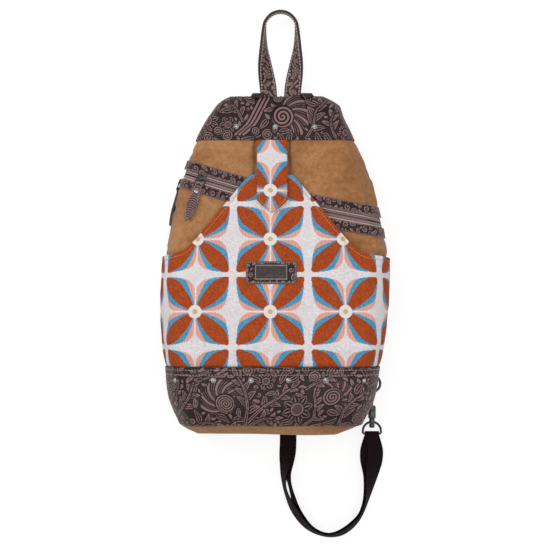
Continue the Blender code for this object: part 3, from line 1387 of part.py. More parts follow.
def make_swivel(bore):
    centre = HOOK_X
    radius = EYE_WIRE / 2
    half = EYE_WIDTH / 2 - radius
    top, bottom = EYE_TOP - radius, EYE_TOP - EYE_HEIGHT + radius
    arch = top - bottom - 3 * MM
    loop = [(half * math.cos(a), bottom + 3 * MM + arch * math.sin(a)) for a in steps_between(0, math.pi, 10)]
    corner = 1.2 * MM
    loop += [(-half, bottom + corner), (-half + corner, bottom)]
    loop += [(half - corner, bottom), (half, bottom + corner)]
    eye = make_wire_loop("swivel_eye", [place(centre + x, h, HOOK_Z) for x, h in loop], radius)
    axis = frame_at(place(centre, 0, HOOK_Z), Vector((0, 0, 1)), Vector((1, 0, 0)))
    boss_low, boss_high = top - 1.9 * MM, BARREL_BOTTOM - SEAM
    r = BOSS_DIAMETER / 2
    boss = [(0, boss_low), (r, boss_low), (r, boss_high), (0, boss_high)]
    combine(eye, turned("eye_boss_guide", boss, axis, "gunmetal", 14), "UNION")
    hole = [(0, -5 * MM), (bore, -5 * MM), (bore, 20 * MM), (0, 20 * MM)]
    combine(eye, turned("eye_bore_guide", hole, axis, "gunmetal", 14), "DIFFERENCE")
    stem, head = STEM_DIAMETER / 2, STEM_HEAD_DIAMETER / 2
    head_top = boss_low - SEAM
    head_low, stem_top = head_top - STEM_HEAD, BARREL_BOTTOM + 6 * MM - SEAM
    pin = [(0, head_low), (head - 0.8 * MM, head_low), (head, head_low + 1 * MM), (head, head_top)]
    pin += [(stem, head_top), (stem, stem_top), (0, stem_top)]
    turned("swivel_pin", pin, axis, "gunmetal", 14)


def build():
    remove_old_objects()
    make_front_panels()
    make_gussets()
    make_back_panel()
    make_base_panel()
    make_linings()
    make_bands()
    make_studs()
    make_pocket()
    make_tab()
    make_snap()
    make_patch()
    make_front_zip()
    make_side_zip()
    make_zip_bag()
    make_sliders()
    make_handle()
    make_strap()
    make_strap_hardware()
    make_d_ring()
    make_d_tab()
    make_hook()


build()
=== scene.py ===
"""A sling backpack of tan canvas, tooled leather and woven jacquard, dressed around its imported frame."""

import math

import bmesh
import bpy
import numpy as np
from mathutils import Matrix, Vector


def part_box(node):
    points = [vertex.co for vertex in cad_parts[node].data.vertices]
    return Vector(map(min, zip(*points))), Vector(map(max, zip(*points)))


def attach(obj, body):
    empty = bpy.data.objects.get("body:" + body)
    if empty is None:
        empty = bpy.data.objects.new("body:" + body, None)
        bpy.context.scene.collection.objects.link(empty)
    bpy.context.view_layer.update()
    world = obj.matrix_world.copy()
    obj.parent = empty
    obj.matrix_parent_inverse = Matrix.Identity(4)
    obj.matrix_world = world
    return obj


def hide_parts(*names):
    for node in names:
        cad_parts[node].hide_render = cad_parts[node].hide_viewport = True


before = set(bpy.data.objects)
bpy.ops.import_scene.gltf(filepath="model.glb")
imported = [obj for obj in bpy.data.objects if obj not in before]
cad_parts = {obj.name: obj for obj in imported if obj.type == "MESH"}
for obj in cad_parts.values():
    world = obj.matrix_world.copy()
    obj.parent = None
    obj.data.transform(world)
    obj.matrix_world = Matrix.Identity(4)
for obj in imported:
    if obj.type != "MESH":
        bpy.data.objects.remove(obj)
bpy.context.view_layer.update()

# Camera: the photograph looks straight down on the bag through a long lens. A millimetre of
# the bag's front covers 0.912 of one of the picture's 550 pixels.
camera = bpy.data.objects.new("camera", bpy.data.cameras.new("camera"))
bpy.context.scene.collection.objects.link(camera)
bpy.context.scene.camera = camera
camera_height, sharp_height, picture_width = 2.6, 0.06, 0.6031
camera.location = (0.0016, 0.0149, camera_height)
camera.data.lens = camera.data.sensor_width * (camera_height - sharp_height) / picture_width
bpy.context.scene.view_settings.view_transform = "Standard"

# Floor and light: a pale studio floor that stays white to the camera and keeps a soft shadow,
# a broad lamp above, a smaller one from the upper left, and an even white surround.
def piece_of(name, shape):
    """A new object from a bmesh, which is used up."""
    piece = bpy.data.objects.new(name, bpy.data.meshes.new(name))
    bpy.context.scene.collection.objects.link(piece)
    shape.to_mesh(piece.data)
    shape.free()
    return piece


def knot(tree, kind, inputs=(), output=0, **settings):
    """One shader node with its inputs linked or set, in order or by their names."""
    made = tree.nodes.new("ShaderNode" + kind)
    for name, value in settings.items():
        setattr(made, name, value)
    for at, value in inputs.items() if isinstance(inputs, dict) else enumerate(inputs):
        if isinstance(value, bpy.types.NodeSocket):
            tree.links.new(value, made.inputs[at])
        elif value is not None:
            made.inputs[at].default_value = value
    return made.outputs[output]


FLOOR_HALF, FLOOR_LEVEL, FLOOR_TONE, FLOOR_GLOW = 6, -0.0006, (0.80, 0.30), 0.80
shape = bmesh.new()
bmesh.ops.create_grid(shape, x_segments=1, y_segments=1, size=FLOOR_HALF)
bmesh.ops.translate(shape, verts=shape.verts, vec=(0, 0, FLOOR_LEVEL))
floor = piece_of("floor", shape)
paint = bpy.data.materials.new("pale_floor")
paint.use_nodes = True
floor.data.materials.append(paint)
tree = paint.node_tree
tree.nodes.clear()
rays = [knot(tree, "LightPath", output=f"Is {kind} Ray") for kind in ("Camera", "Glossy", "Transmission")]
direct = knot(tree, "Math", rays[:2], operation="MAXIMUM")
mirrored = knot(tree, "Math", (direct, rays[2]), operation="MAXIMUM")
matt, faint = (knot(tree, "BsdfDiffuse", ((tone, tone, tone, 1),)) for tone in FLOOR_TONE)
lit = knot(tree, "AddShader", (faint, knot(tree, "Emission", {"Strength": FLOOR_GLOW})))
either = knot(tree, "MixShader", (mirrored, matt, lit))
tree.links.new(either, tree.nodes.new("ShaderNodeOutputMaterial").inputs["Surface"])
for name, place, aim, size, power in (
    ("lamp_above", (0.0, 0.25, 1.9), (0, 0, 0), 1.8, 15.0),
    ("lamp_left", (-1.3, 1.0, 1.2), (0, 0, 0.05), 0.7, 8.5),
    ("lamp_right", (1.4, -0.6, 0.9), (0, 0, 0.05), 0.9, 2.5),
):
    lamp = bpy.data.objects.new(name, bpy.data.lights.new(name, "AREA"))
    bpy.context.scene.collection.objects.link(lamp)
    lamp.location = place
    lamp.rotation_euler = (Vector(aim) - Vector(place)).to_track_quat("-Z", "Y").to_euler()
    lamp.data.shape = "DISK"
    lamp.data.size = size
    lamp.data.energy = power
surround = bpy.data.worlds.new("surround")
bpy.context.scene.world = surround
surround.use_nodes = True
surround.node_tree.nodes["Background"].inputs["Color"].default_value = (1, 1, 1, 1)
surround.node_tree.nodes["Background"].inputs["Strength"].default_value = 0.45

# Stuffed shape: the sewn bag's own outline, depth and rounded edges, in metres. Every cloth and
# leather layer below lies on this skin, at its own small distance.
FOOT, TALL, DEEP = -0.160, 0.373, 0.098
WAIST = [(0, 70), (12, 99.5), (61, 113.5), (163, 121.5), (192, 121), (268, 107), (323, 87), (360, 66),
         (373, 48)]
WAIST = [(height / 1000, half / 1000) for height, half in WAIST]
LEAN, LEAN_BY = ((0.0, -0.9), (0.3, 0.0), (0.62, 1.0), (0.85, 0.5), (1.0, 0.8)), 0.0035
TAPER, TAPER_FROM, TAPER_EASE = 0.267, 0.140, 0.030
RIM_SHARE, EDGE_SHARE, FLAT_SHARE = 0.45, 0.40, 0.72
ROUND_FOOT, ROUND_TOP = 0.035, 0.024
BACK_HALF, BACK_LOW, BACK_HIGH, BACK_TUCK = 0.04374, 0.23 * TALL, 0.78 * TALL, 0.65


def follow(stations, value):
    """A smooth curve through stations that never overshoots them, for a whole array at once."""
    at, result = np.array(stations, float).T
    step = np.diff(at)
    rise = np.diff(result) / step
    product = rise[:-1] * rise[1:]
    total = np.where(product > 0, rise[:-1] + rise[1:], 1)
    slope = np.concatenate(([rise[0]], np.where(product > 0, 2 * product / total, 0), [rise[-1]]))
    value = np.clip(value, at[0], at[-1])
    i = np.clip(np.searchsorted(at, value, "right") - 1, 0, len(step) - 1)
    t = (value - at[i]) / step[i]
    even = result[i] + (result[i + 1] - result[i]) * t * t * (3 - 2 * t)
    return even + t * (1 - t) ** 2 * step[i] * slope[i] + t * t * (t - 1) * step[i] * slope[i + 1]


def centre(height):
    return LEAN_BY * follow(LEAN, height / TALL)


def depth_at(height):
    past = np.clip(height - TAPER_FROM, 0, TAPER_EASE)
    straight = np.maximum(height - TAPER_FROM - TAPER_EASE, 0)
    return DEEP - TAPER * (past * past / (2 * TAPER_EASE) + straight)


def rim_at(height):
    """How high the bag's widest line stands over the floor."""
    return RIM_SHARE * depth_at(height)


def rounding(distance, radius):
    """0 at an edge and 1 from one radius in, along a quarter circle."""
    inward = np.clip(distance / radius, 0, 1)
    return np.sqrt(np.maximum(1 - (1 - inward) ** 2, 0))


def bell(distance, width):
    """1 at no distance, fading softly to nothing past a width or two."""
    return np.exp(-(distance / width) ** 2)


def front_level(x, height):
    """How high the front's skin stands over the floor."""
    rise = depth_at(height) - rim_at(height)
    across = rounding(follow(WAIST, height) - np.abs(x - centre(height)), EDGE_SHARE * rise)
    ends = rounding(height, ROUND_FOOT) * rounding(TALL - height, ROUND_TOP)
    return rim_at(height) + rise * across * ends


def side_skin(x, height, turn):
    """From the widest line at turn 0 round to the flat back at turn 1."""
    inward_x = np.clip(x, -BACK_HALF, BACK_HALF) - x
    inward_h = np.clip(height, BACK_LOW, BACK_HIGH) - height
    length = np.maximum(np.hypot(inward_x, inward_h), 1e-9)
    quarter = turn * math.pi / 2
    reach = BACK_TUCK * rim_at(height) * (1 - np.cos(quarter)) / length
    z = rim_at(height) * (1 - np.sin(quarter))
    return np.stack([x + inward_x * reach, height + inward_h * reach + FOOT, z], -1)


def skin(s, height):
    """s from -1 to 1 crosses the front; past that it goes round the sides to the back at 2."""
    s, height = np.broadcast_arrays(np.asarray(s, float), np.asarray(height, float))
    half = follow(WAIST, height)
    edge = EDGE_SHARE * (1 - RIM_SHARE) * depth_at(height)
    inside = np.clip(np.abs(s), 0, 1)
    angle = np.clip((1 - inside) / (1 - FLAT_SHARE), 0, 1) * math.pi / 2
    on_flat, on_edge = inside / FLAT_SHARE * (half - edge), half - edge + edge * np.cos(angle)
    x = centre(height) + np.sign(s) * np.where(inside < FLAT_SHARE, on_flat, on_edge)
    front = np.stack([x, height + FOOT, front_level(x, height)], -1)
    side = side_skin(centre(height) + np.sign(s) * half, height, np.clip(np.abs(s) - 1, 0, 1))
    return np.where(np.abs(s)[..., None] > 1, side, front)


def settle(s, start, edge):
    """Heights at which the skin at s meets an edge that is given by its x."""
    height = np.full(np.shape(s), start)
    for _ in range(14):
        height = 0.5 * (height + edge(skin(s, height)[..., 0]))
    return height


def off_skin(s, height, lift, surface=skin, step=2e-4):
    """Points that stand lift off a surface, along its outward direction."""
    along = surface(s + step, height) - surface(s - step, height)
    up = surface(s, height + step) - surface(s, height - step)
    outward = np.cross(along, up)
    outward /= np.maximum(np.linalg.norm(outward, axis=-1, keepdims=True), 1e-12)
    return surface(s, height) + outward * np.asarray(lift)[..., None]


def on_front(x, height):
    """The front's skin by x instead of s."""
    x, height = np.broadcast_arrays(np.asarray(x, float), np.asarray(height, float))
    return np.stack([x, height + FOOT, front_level(x, height)], -1)


def points_of(mesh):
    got = np.empty(len(mesh.vertices) * 3)
    mesh.vertices.foreach_get("co", got)
    return got.reshape(-1, 3)


def move_points(mesh, points):
    mesh.vertices.foreach_set("co", np.ascontiguousarray(points, dtype=float).ravel())
    mesh.update()


def run_along(points):
    """How far each point lies along a line of points."""
    return np.concatenate(([0], np.cumsum(np.linalg.norm(np.diff(points, axis=0), axis=1))))


def even_cloth(name, columns, rows):
    """A flat cloth of squares, from 0 to 1 both ways, ready to be laid."""
    shape = bmesh.new()
    bmesh.ops.create_grid(shape, x_segments=columns, y_segments=rows, size=0.5)
    bmesh.ops.translate(shape, verts=shape.verts, vec=(0.5, 0.5, 0))
    piece = piece_of(name, shape)
    piece.data.shade_smooth()
    return piece


def set_cloth_map(mesh, u, v):
    """Gives each corner the cloth's own flat coordinates, in metres."""
    layer = mesh.uv_layers.new(name="cloth")
    corner = np.empty(len(mesh.loops), int)
    mesh.loops.foreach_get("vertex_index", corner)
    layer.data.foreach_set("uv", np.stack([u[corner], v[corner]], -1).ravel())


def keep_value(mesh, label, values):
    """One number at each point, for a later step or for the material."""
    mesh.attributes.new(label, "FLOAT", "POINT").data.foreach_set("value", values.astype(np.float32))


def lay(piece, thickness, points=None, carving=None, offset=-1):
    """Places a cloth, keeps its tooling for its colour, and thickens it, inwards unless told."""
    if points is not None:
        move_points(piece.data, points)
    if carving is not None:
        keep_value(piece.data, "carving", carving)
    step = piece.modifiers.new("thickness", "SOLIDIFY")
    step.thickness, step.offset = thickness, offset


def dress(piece, material, slot, *nodes, body="bag"):
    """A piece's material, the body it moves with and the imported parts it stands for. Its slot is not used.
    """
    piece.data.materials.append(material)
    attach(piece, body)
    if nodes:
        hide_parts(*nodes)


def reckon(tree, operation, *values):
    return knot(tree, "Math", values, operation=operation)


def linear(red, green, blue):
    """A colour as it looks on screen, in the shader's own linear values."""
    on_screen = (c / 255 for c in (red, green, blue))
    return tuple(c / 12.92 if c <= 10 / 255 else ((c + 0.055) / 1.055) ** 2.4 for c in on_screen) + (1,)


def mix(tree, share, under, over, blend="MIX"):
    made = tree.nodes.new("ShaderNodeMix")
    made.data_type, made.blend_type = "RGBA", blend
    for socket, value in ((made.inputs[0], share), (made.inputs[6], under), (made.inputs[7], over)):
        if isinstance(value, bpy.types.NodeSocket):
            tree.links.new(value, socket)
        else:
            socket.default_value = value
    return made.outputs[2]


def ramp(tree, share, stops):
    made = tree.nodes.new("ShaderNodeValToRGB")
    tree.links.new(share, made.inputs[0])
    while len(made.color_ramp.elements) < len(stops):
        made.color_ramp.elements.new(0.5)
    for element, (at, colour) in zip(made.color_ramp.elements, stops):
        element.position, element.color = at, colour
    return made.outputs[0]


def finish_of(name, roughness, metallic=0.0, sheen=0.0):
    """A new material: its name, its tree and its one shader."""
    made = bpy.data.materials.new(name)
    made.use_nodes = True
    shader = made.node_tree.nodes["Principled BSDF"]
    shader.inputs["Roughness"].default_value = roughness
    shader.inputs["Metallic"].default_value = metallic
    shader.inputs["Sheen Weight"].default_value = sheen
    shader.inputs["Specular IOR Level"].default_value = 0.5 if metallic else 0.28
    return made, made.node_tree, shader


def grain(tree, scale, detail=2, rough=0.5):
    """Soft noise on the object's own coordinates."""
    place = knot(tree, "TexCoord", output="Object")
    return knot(tree, "TexNoise", {"Vector": place, "Scale": scale, "Detail": detail, "Roughness": rough})


def blend_of(tree, *pairs):
    """The sum of some values, each times its own share."""
    total, *rest = [reckon(tree, "MULTIPLY", value, share) for value, share in pairs]
    for part in rest:
        total = reckon(tree, "ADD", total, part)
    return total


def kept_value(tree, label):
    """The number that each point of the piece keeps under a label."""
    return knot(tree, "Attribute", output=2, attribute_name=label)


def unevenly(tree, value, noise, share):
    """A value, with a share of some noise about its middle."""
    swing = reckon(tree, "SUBTRACT", noise, 0.5)
    return reckon(tree, "ADD", value, reckon(tree, "MULTIPLY", swing, share))


def colour_and_relief(tree, shader, colour, height, distance, strength):
    """Sends the colour and a fine relief to the one shader."""
    tree.links.new(colour, shader.inputs["Base Color"])
    relief = knot(tree, "Bump", {"Strength": strength, "Distance": distance, "Height": height})
    tree.links.new(relief, shader.inputs["Normal"])


# Jacquard front pocket: a slip pocket of heavy woven cloth in a four-petal weave. It is hemmed round
# its peaked mouth, sewn down at the foot and sides, and stands a little off the front.
POCKET_FOOT, POCKET_SIDE, POCKET_PEAK = 0.0756, 0.192, 0.283


def mouth_height(x):
    """The pocket's edge: a level peak, two slants and the sides, its bends eased."""
    away = np.abs(x + 0.0025)
    reach = np.minimum(0.013, 0.35 * np.abs(away - 0.024) + 0.004)
    corner_x, corner_h = (0, 0.024, 0.094, 0.130), (POCKET_PEAK, POCKET_PEAK, 0.197, POCKET_SIDE)
    samples = [np.interp(np.abs(x + 0.0025 + reach * k / 4), corner_x, corner_h) for k in range(-4, 5)]
    return sum(samples) / len(samples)


def pocket_stand(s, height):
    """How far the pocket's cloth stands off the skin."""
    from_foot = rounding(height - POCKET_FOOT, 0.032)
    from_side = rounding(1.0 - np.abs(s), 0.26)
    return 0.0003 + 0.0059 * from_foot * from_side


def jacquard(name, low, high):
    """Four rust petals a flower, each flanked by blue and coral crescents, on an ivory ground.
    A broad, faint shade spans the cloth from its lowest corner to its highest."""
    made, tree, shader = finish_of(name, 0.86)
    shader.inputs["Specular IOR Level"].default_value = 0.15
    thread, reach, corner, flare_from = 0.00062, 34, 66.4, 28.5

    def do(operation, *values):
        return reckon(tree, operation, *values)

    def from_middle(place, tile, start, unit):
        """How far a thread lies from its flower's middle along one way, in the weaver's steps."""
        woven = do("ADD", do("SNAP", place, thread), 4 * tile + start)
        return do("DIVIDE", do("PINGPONG", woven, tile / 2), unit)

    def beside(slope, bend):
        """Inside the flower, on the petal's side of a line that bends away from the flower's axis."""
        line = do("MULTIPLY", far, do("MULTIPLY_ADD", far, bend, slope))
        return do("MULTIPLY", do("GREATER_THAN", near, do("MULTIPLY_ADD", flare, 0.26, line)), in_tile)

    cloth = knot(tree, "UVMap", uv_map="cloth")
    u, v = (knot(tree, "SeparateXYZ", (cloth,), axis) for axis in "XY")
    across, up = from_middle(u, 0.0814, 0.0038, 0.001082), from_middle(v, 0.0766, -0.1351, 0.001058)
    far, near = do("MAXIMUM", across, up), do("MINIMUM", across, up)
    rim = do("MULTIPLY_ADD", do("POWER", do("SUBTRACT", reach, near), 2), -0.0050, reach)
    in_tile = do("MULTIPLY", do("LESS_THAN", far, rim), do("LESS_THAN", do("ADD", far, near), corner))
    flare = do("POWER", do("MAXIMUM", do("SUBTRACT", far, flare_from), 0), 2)
    petal, blue = beside(0.235, 0.0125), beside(0.10, 0.0085)
    tip = do("POWER", do("MAXIMUM", do("DIVIDE", do("SUBTRACT", far, 17), 15.5), 0), 3)
    coral = do("MULTIPLY", do("GREATER_THAN", near, do("MULTIPLY_ADD", tip, 11, 0.9)), in_tile)
    radius = do("SQRT", do("ADD", do("POWER", across, 2), do("POWER", up, 2)))
    disc, eye = do("LESS_THAN", radius, 6.8), do("LESS_THAN", radius, 2.6)

    cell = knot(tree, "CombineXYZ", (do("SNAP", u, 0.0011), do("SNAP", v, 0.0008)))
    fleck, tint = (knot(tree, "TexWhiteNoise", (cell,), at, noise_dimensions="2D") for at in (0, 1))
    hatch = do("DIVIDE", do("PINGPONG", u, 0.0008), 0.0008)
    ivory = mix(tree, 0.05, mix(tree, fleck, linear(224, 215, 218), linear(250, 244, 246)), tint)
    rust = mix(tree, 0.03, mix(tree, fleck, linear(148, 54, 0), linear(196, 80, 6)), tint)
    sky = mix(tree, fleck, linear(48, 142, 184), linear(92, 174, 212))
    pink = mix(tree, hatch, linear(224, 134, 112), linear(246, 198, 184))
    white, honey = linear(240, 236, 234), linear(222, 186, 132)
    colour = ivory
    for share, yarn in ((coral, pink), (blue, sky), (petal, rust), (disc, white), (eye, honey)):
        colour = mix(tree, share, colour, yarn)
    place, span = knot(tree, "TexCoord", output="Object"), high - low
    placed = knot(tree, "Mapping", {"Vector": place, "Location": tuple(-low / span),
                                    "Scale": tuple(1 / span)})
    broad = knot(tree, "TexNoise", {"Vector": placed, "Scale": 14})
    shade = ramp(tree, broad, [(0.3, (0.93, 0.93, 0.93, 1)), (0.7, (1, 1, 1, 1))])
    pick = do("PINGPONG", do("ADD", v, do("MULTIPLY", u, 0.5)), thread * 0.8)
    weave = do("DIVIDE", do("ADD", do("PINGPONG", u, thread), pick), thread * 1.8)
    dark = ramp(tree, weave, [(0.0, (0.74, 0.74, 0.74, 1)), (0.45, (1, 1, 1, 1))])
    colour = mix(tree, 1.0, mix(tree, 1.0, colour, shade, "MULTIPLY"), dark, "MULTIPLY")
    colour_and_relief(tree, shader, colour, weave, 0.0004, 0.7)
    return made


def stitch_row(name, path, outward, pitch, length, radius, material, slot):
    """A row of real stitches: each a short rounded thread, bedded at both ends."""
    run = run_along(path)
    count = max(1, int(run[-1] / pitch))
    end_radius, swell, rise = 0.55 * radius, 1.8, 0.75 * radius
    one = bmesh.new()
    bmesh.ops.create_cone(one, cap_ends=True, segments=5, radius1=end_radius, radius2=end_radius,
                          depth=length)
    sides = [edge for edge in one.edges if abs(edge.verts[0].co.z - edge.verts[1].co.z) > 0.5 * length]
    bmesh.ops.subdivide_edges(one, edges=sides, cuts=1)
    for vert in one.verts:
        if abs(vert.co.z) < 1e-9:
            vert.co.x, vert.co.y = vert.co.x * swell + rise, vert.co.y * swell
    source = bpy.data.meshes.new(name + "_thread")
    one.to_mesh(source)
    one.free()
    whole = bmesh.new()
    for k in range(count):
        at = (k + 0.5) * run[-1] / count
        middle, tail, head = (
            np.array([np.interp(at + d, run, path[:, i]) for i in range(3)]) for d in (0, -length / 2,
                                                                                       length / 2)
        )
        out = np.array([np.interp(at, run, outward[:, i]) for i in range(3)])
        along, up = Vector(head - tail).normalized(), Vector(out).normalized()
        cross = along.cross(up).normalized()
        turn = Matrix((cross.cross(along), cross, along)).transposed().to_4x4()
        turn.translation = Vector(middle)
        start = len(whole.verts)
        whole.from_mesh(source)
        whole.verts.ensure_lookup_table()
        bmesh.ops.transform(whole, matrix=turn, verts=whole.verts[start:])
    bmesh.ops.recalc_face_normals(whole, faces=whole.faces)
    bpy.data.meshes.remove(source)
    thread = piece_of(name, whole)
    thread.data.shade_smooth()
    dress(thread, material, slot)


def thread_finish(name, colour):
    """Spun polyester: a touch of sheen, and a tone that shifts along the thread."""
    made, tree, shader = finish_of(name, 0.6, sheen=0.2)
    dim = tuple(0.6 * c for c in colour[:3]) + (1,)
    tree.links.new(mix(tree, grain(tree, 900), dim, colour), shader.inputs["Base Color"])
    return made


POCKET_SQUARES, POCKET_ROUND, POCKET_PLY = (200, 120), 1.06, 0.0012
pocket = even_cloth("jacquard_pocket", *POCKET_SQUARES)
grid = points_of(pocket.data)
across, share = POCKET_ROUND * (2 * grid[:, 0] - 1), grid[:, 1]
top = settle(across, POCKET_SIDE, mouth_height)
height = POCKET_FOOT + (top - POCKET_FOOT) * share
gather = 0.0007 * np.sin(height * 210 + 6 * across) * np.sin(across * 17)
gather *= rounding(height - POCKET_FOOT, 0.05) * np.clip((np.abs(across) - 0.25) * 3, 0, 1)
hem = 0.0006 * bell(top - height - 0.0048, 0.0008) - 0.0003 * bell(top - height - 0.0062, 0.0006)
laid = off_skin(across, height, pocket_stand(across, height) + POCKET_PLY + gather - np.abs(hem))
columns, rows = (count + 1 for count in POCKET_SQUARES)
order = np.lexsort((np.round(grid[:, 0], 5), np.round(grid[:, 1], 5)))
by_row, middle = laid[order].reshape(rows, columns, 3), columns // 2
steps = np.hypot(*np.moveaxis(np.diff(by_row, axis=1)[..., [0, 2]], -1, 0))
run = np.concatenate((np.zeros((rows, 1)), np.cumsum(steps, axis=1)), axis=1)
run -= (run[:, middle] - by_row[:, middle, 0])[:, None]
cloth_u = np.empty(len(grid))
cloth_u[order] = run.ravel()
set_cloth_map(pocket.data, cloth_u, height)
lay(pocket, POCKET_PLY, laid)
jacquard_weave = jacquard("jacquard_weave", laid.min(0), laid.max(0))
dress(pocket, jacquard_weave, "jacquard", "front_pocket")
line = np.linspace(-0.99, 0.99, 640)
level = settle(line, POCKET_SIDE, mouth_height)
level -= 0.0040 * np.hypot(1, np.gradient(level, skin(line, level)[:, 0]))
path = off_skin(line, level, pocket_stand(line, level) + 0.0011)
rust_thread = thread_finish("rust_thread", linear(240, 172, 124))
stitch_row("mouth_stitch", path, path - skin(line, level), 0.0030, 0.0021, 0.00042, rust_thread, "jacquard")

# Closure tab: the same jacquard, doubled and turned in at its edges. It comes from under the top
# band, passes over the pocket's peak and holds by a hidden magnetic snap.
TAB_STAND = ((0.241, 8.6), (0.2515, 10.7), (0.2645, 10.7), (0.286, 8.2), (0.309, 1.6), (0.323, 0.3))
TAB_STAND = [(height, lift / 1000) for height, lift in TAB_STAND]
TAB_X, TAB_HALF, TAB_LOW, TAB_HIGH, TAB_POINT, TAB_PLY = -0.0015, 0.0165, 0.241, 0.3227, 0.014, 0.0022


def tab_half(height):
    """Half the tab's width: even down to its pointed, rounded end."""
    return TAB_HALF * (1 - 0.92 * np.clip((TAB_LOW + TAB_POINT - height) / TAB_POINT, 0, 1) ** 1.6)


tab = even_cloth("jacquard_tab", 36, 90)
grid = points_of(tab.data)
height, side = TAB_LOW + (TAB_HIGH - TAB_LOW) * grid[:, 1], 2 * grid[:, 0] - 1
stand = follow(TAB_STAND, height) + 0.0024 - 0.0009 * np.abs(side) ** 6
x = TAB_X + side * tab_half(height)
set_cloth_map(tab.data, x, height - 0.0517)
lay(tab, TAB_PLY, off_skin(x, height, stand, on_front))
dress(tab, jacquard_weave, "jacquard", "closure_tab")
down = np.linspace(0.266, 0.2443, 40)
height = np.concatenate([down, down[::-1]])
x = TAB_X + np.repeat((-1, 1), 40) * np.maximum(tab_half(height) - 0.0024, 0)
path = off_skin(x, height, follow(TAB_STAND, height) + TAB_PLY, on_front)
stitch_row("tab_stitch", path, path - on_front(x, height), 0.0027, 0.0019, 0.0004, rust_thread, "jacquard")

# Tooled leather boot: cowhide round the foot, carved with scrolls, leaves and flowers in the western
# way, antiqued dark in the cuts and rubbed pale on the high parts. Stitched twice under its top edge.
HIDE_TOP = 0.0017


def plain_hide(x, y):
    """Blank leather: where its points are in millimetres, and how high each stands, 0 to 1."""
    ground = 0.20 + 0.05 * np.sin(x * 5.3) * np.sin(y * 4.9)
    return {"x": x, "y": y, "high": ground, "free": np.ones(len(x), bool)}


def round_the_side(s, height):
    """How much further s lies from the middle over the bag's face than straight across, in mm."""
    line = np.linspace(-1.8, 1.8, 721)
    path, middle = skin(line, np.full(721, height)), 360
    length = run_along(path)
    return 1000 * np.interp(s, line, length - length[middle] - path[:, 0] + path[middle, 0])


def nearby(hide, x, y, reach):
    return np.nonzero((np.abs(hide["x"] - x) < reach) & (np.abs(hide["y"] - y) < reach))[0]


def ridge(distance, half):
    """A raised line: full height at its middle, gone just past half its width."""
    return np.clip(1.5 - 1.5 * (distance / half) ** 2, 0, 1)


def press(hide, at, distance, high):
    """Sets the carving where distance, in mm inside the outline, is positive, with a dark cut round it."""
    near, inside = distance > -0.9, distance > 0
    around = at[near & ~inside]
    hide["high"][around] = np.minimum(hide["high"][around], 0.0)
    hide["high"][at[inside]] = high[inside]
    hide["free"][at[near]] = False


def cut_leaf(hide, x, y, aim, long, wide, bow=0.0):
    """A leaf: a raised rim, a dark hollow and a raised heart, bent sideways by bow."""
    at = nearby(hide, x, y, 1.35 * long)
    dx, dy = hide["x"][at] - x, hide["y"][at] - y
    along = (dx * math.cos(aim) + dy * math.sin(aim)) / long
    t = np.clip(along, 0, 1)
    off = -dx * math.sin(aim) + dy * math.cos(aim) - bow * long * 4 * t * (1 - t)
    edge = wide / 2 * np.sin(math.pi * t ** 0.75) ** 0.7
    distance = np.minimum(edge - np.abs(off), long * np.minimum(along, 1 - along) + 0.3)
    heart = ridge(off, 0.20 * edge + 0.05) * (t > 0.16) * (t < 0.8)
    press(hide, at, distance, np.maximum(ridge(distance - 0.7, 0.7), heart))


def cut_flower(hide, x, y, radius, petals, turn):
    """A bloom: a ring of petals, each a rim round a small heart, about a beaded middle."""
    for k in range(petals):
        aim = turn + 2 * math.pi * k / petals
        start = (x + 0.34 * radius * math.cos(aim), y + 0.34 * radius * math.sin(aim))
        cut_leaf(hide, *start, aim, 0.68 * radius, 4.4 * radius / petals)
    at = nearby(hide, x, y, 0.5 * radius)
    dx, dy = hide["x"][at] - x, hide["y"][at] - y
    away = np.hypot(dx, dy)
    beads = 0.5 + 0.5 * np.cos(dx * 2.6) * np.cos(dy * 2.6)
    press(hide, at, 0.42 * radius - away, np.maximum(beads, ridge(away - 0.38 * radius, 0.8)))


def cut_scroll(hide, x, y, radius, start, hand=1, pitch=3.0):
    """A coiled volute: one raised line that winds in on its eye."""
    at = nearby(hide, x, y, 1.15 * radius)
    dx, dy = hide["x"][at] - x, hide["y"][at] - y
    away, angle = np.hypot(dx, dy), hand * np.arctan2(dy, dx) - start
    band = away / pitch - angle / (2 * math.pi)
    press(hide, at, radius - away, ridge(band - np.floor(band) - 0.5, 0.34))


def cut_whirl(hide, x, y, inner, outer, spokes, twist, start, sweep):
    """Long bent plumes that sweep round a scroll, each with a rounded tip."""
    at = nearby(hide, x, y, 1.1 * outer)
    dx, dy = hide["x"][at] - x, hide["y"][at] - y
    away, angle = np.hypot(dx, dy), (np.arctan2(dy, dx) - start) % (2 * math.pi)
    out = (away - inner) / (outer - inner)
    phase = angle / (2 * math.pi) * spokes + np.clip(out, 0, 1) * twist
    band = phase - np.floor(phase) - 0.5
    tip = outer - 0.22 * (outer - inner) * (2 * np.abs(band)) ** 2 - away
    distance = np.minimum(np.minimum(away - inner, tip), np.where(angle < sweep, 9, -9))
    press(hide, at, distance, np.maximum(ridge(band, 0.20), 0.8 * ridge(np.abs(band) - 0.36, 0.07)))


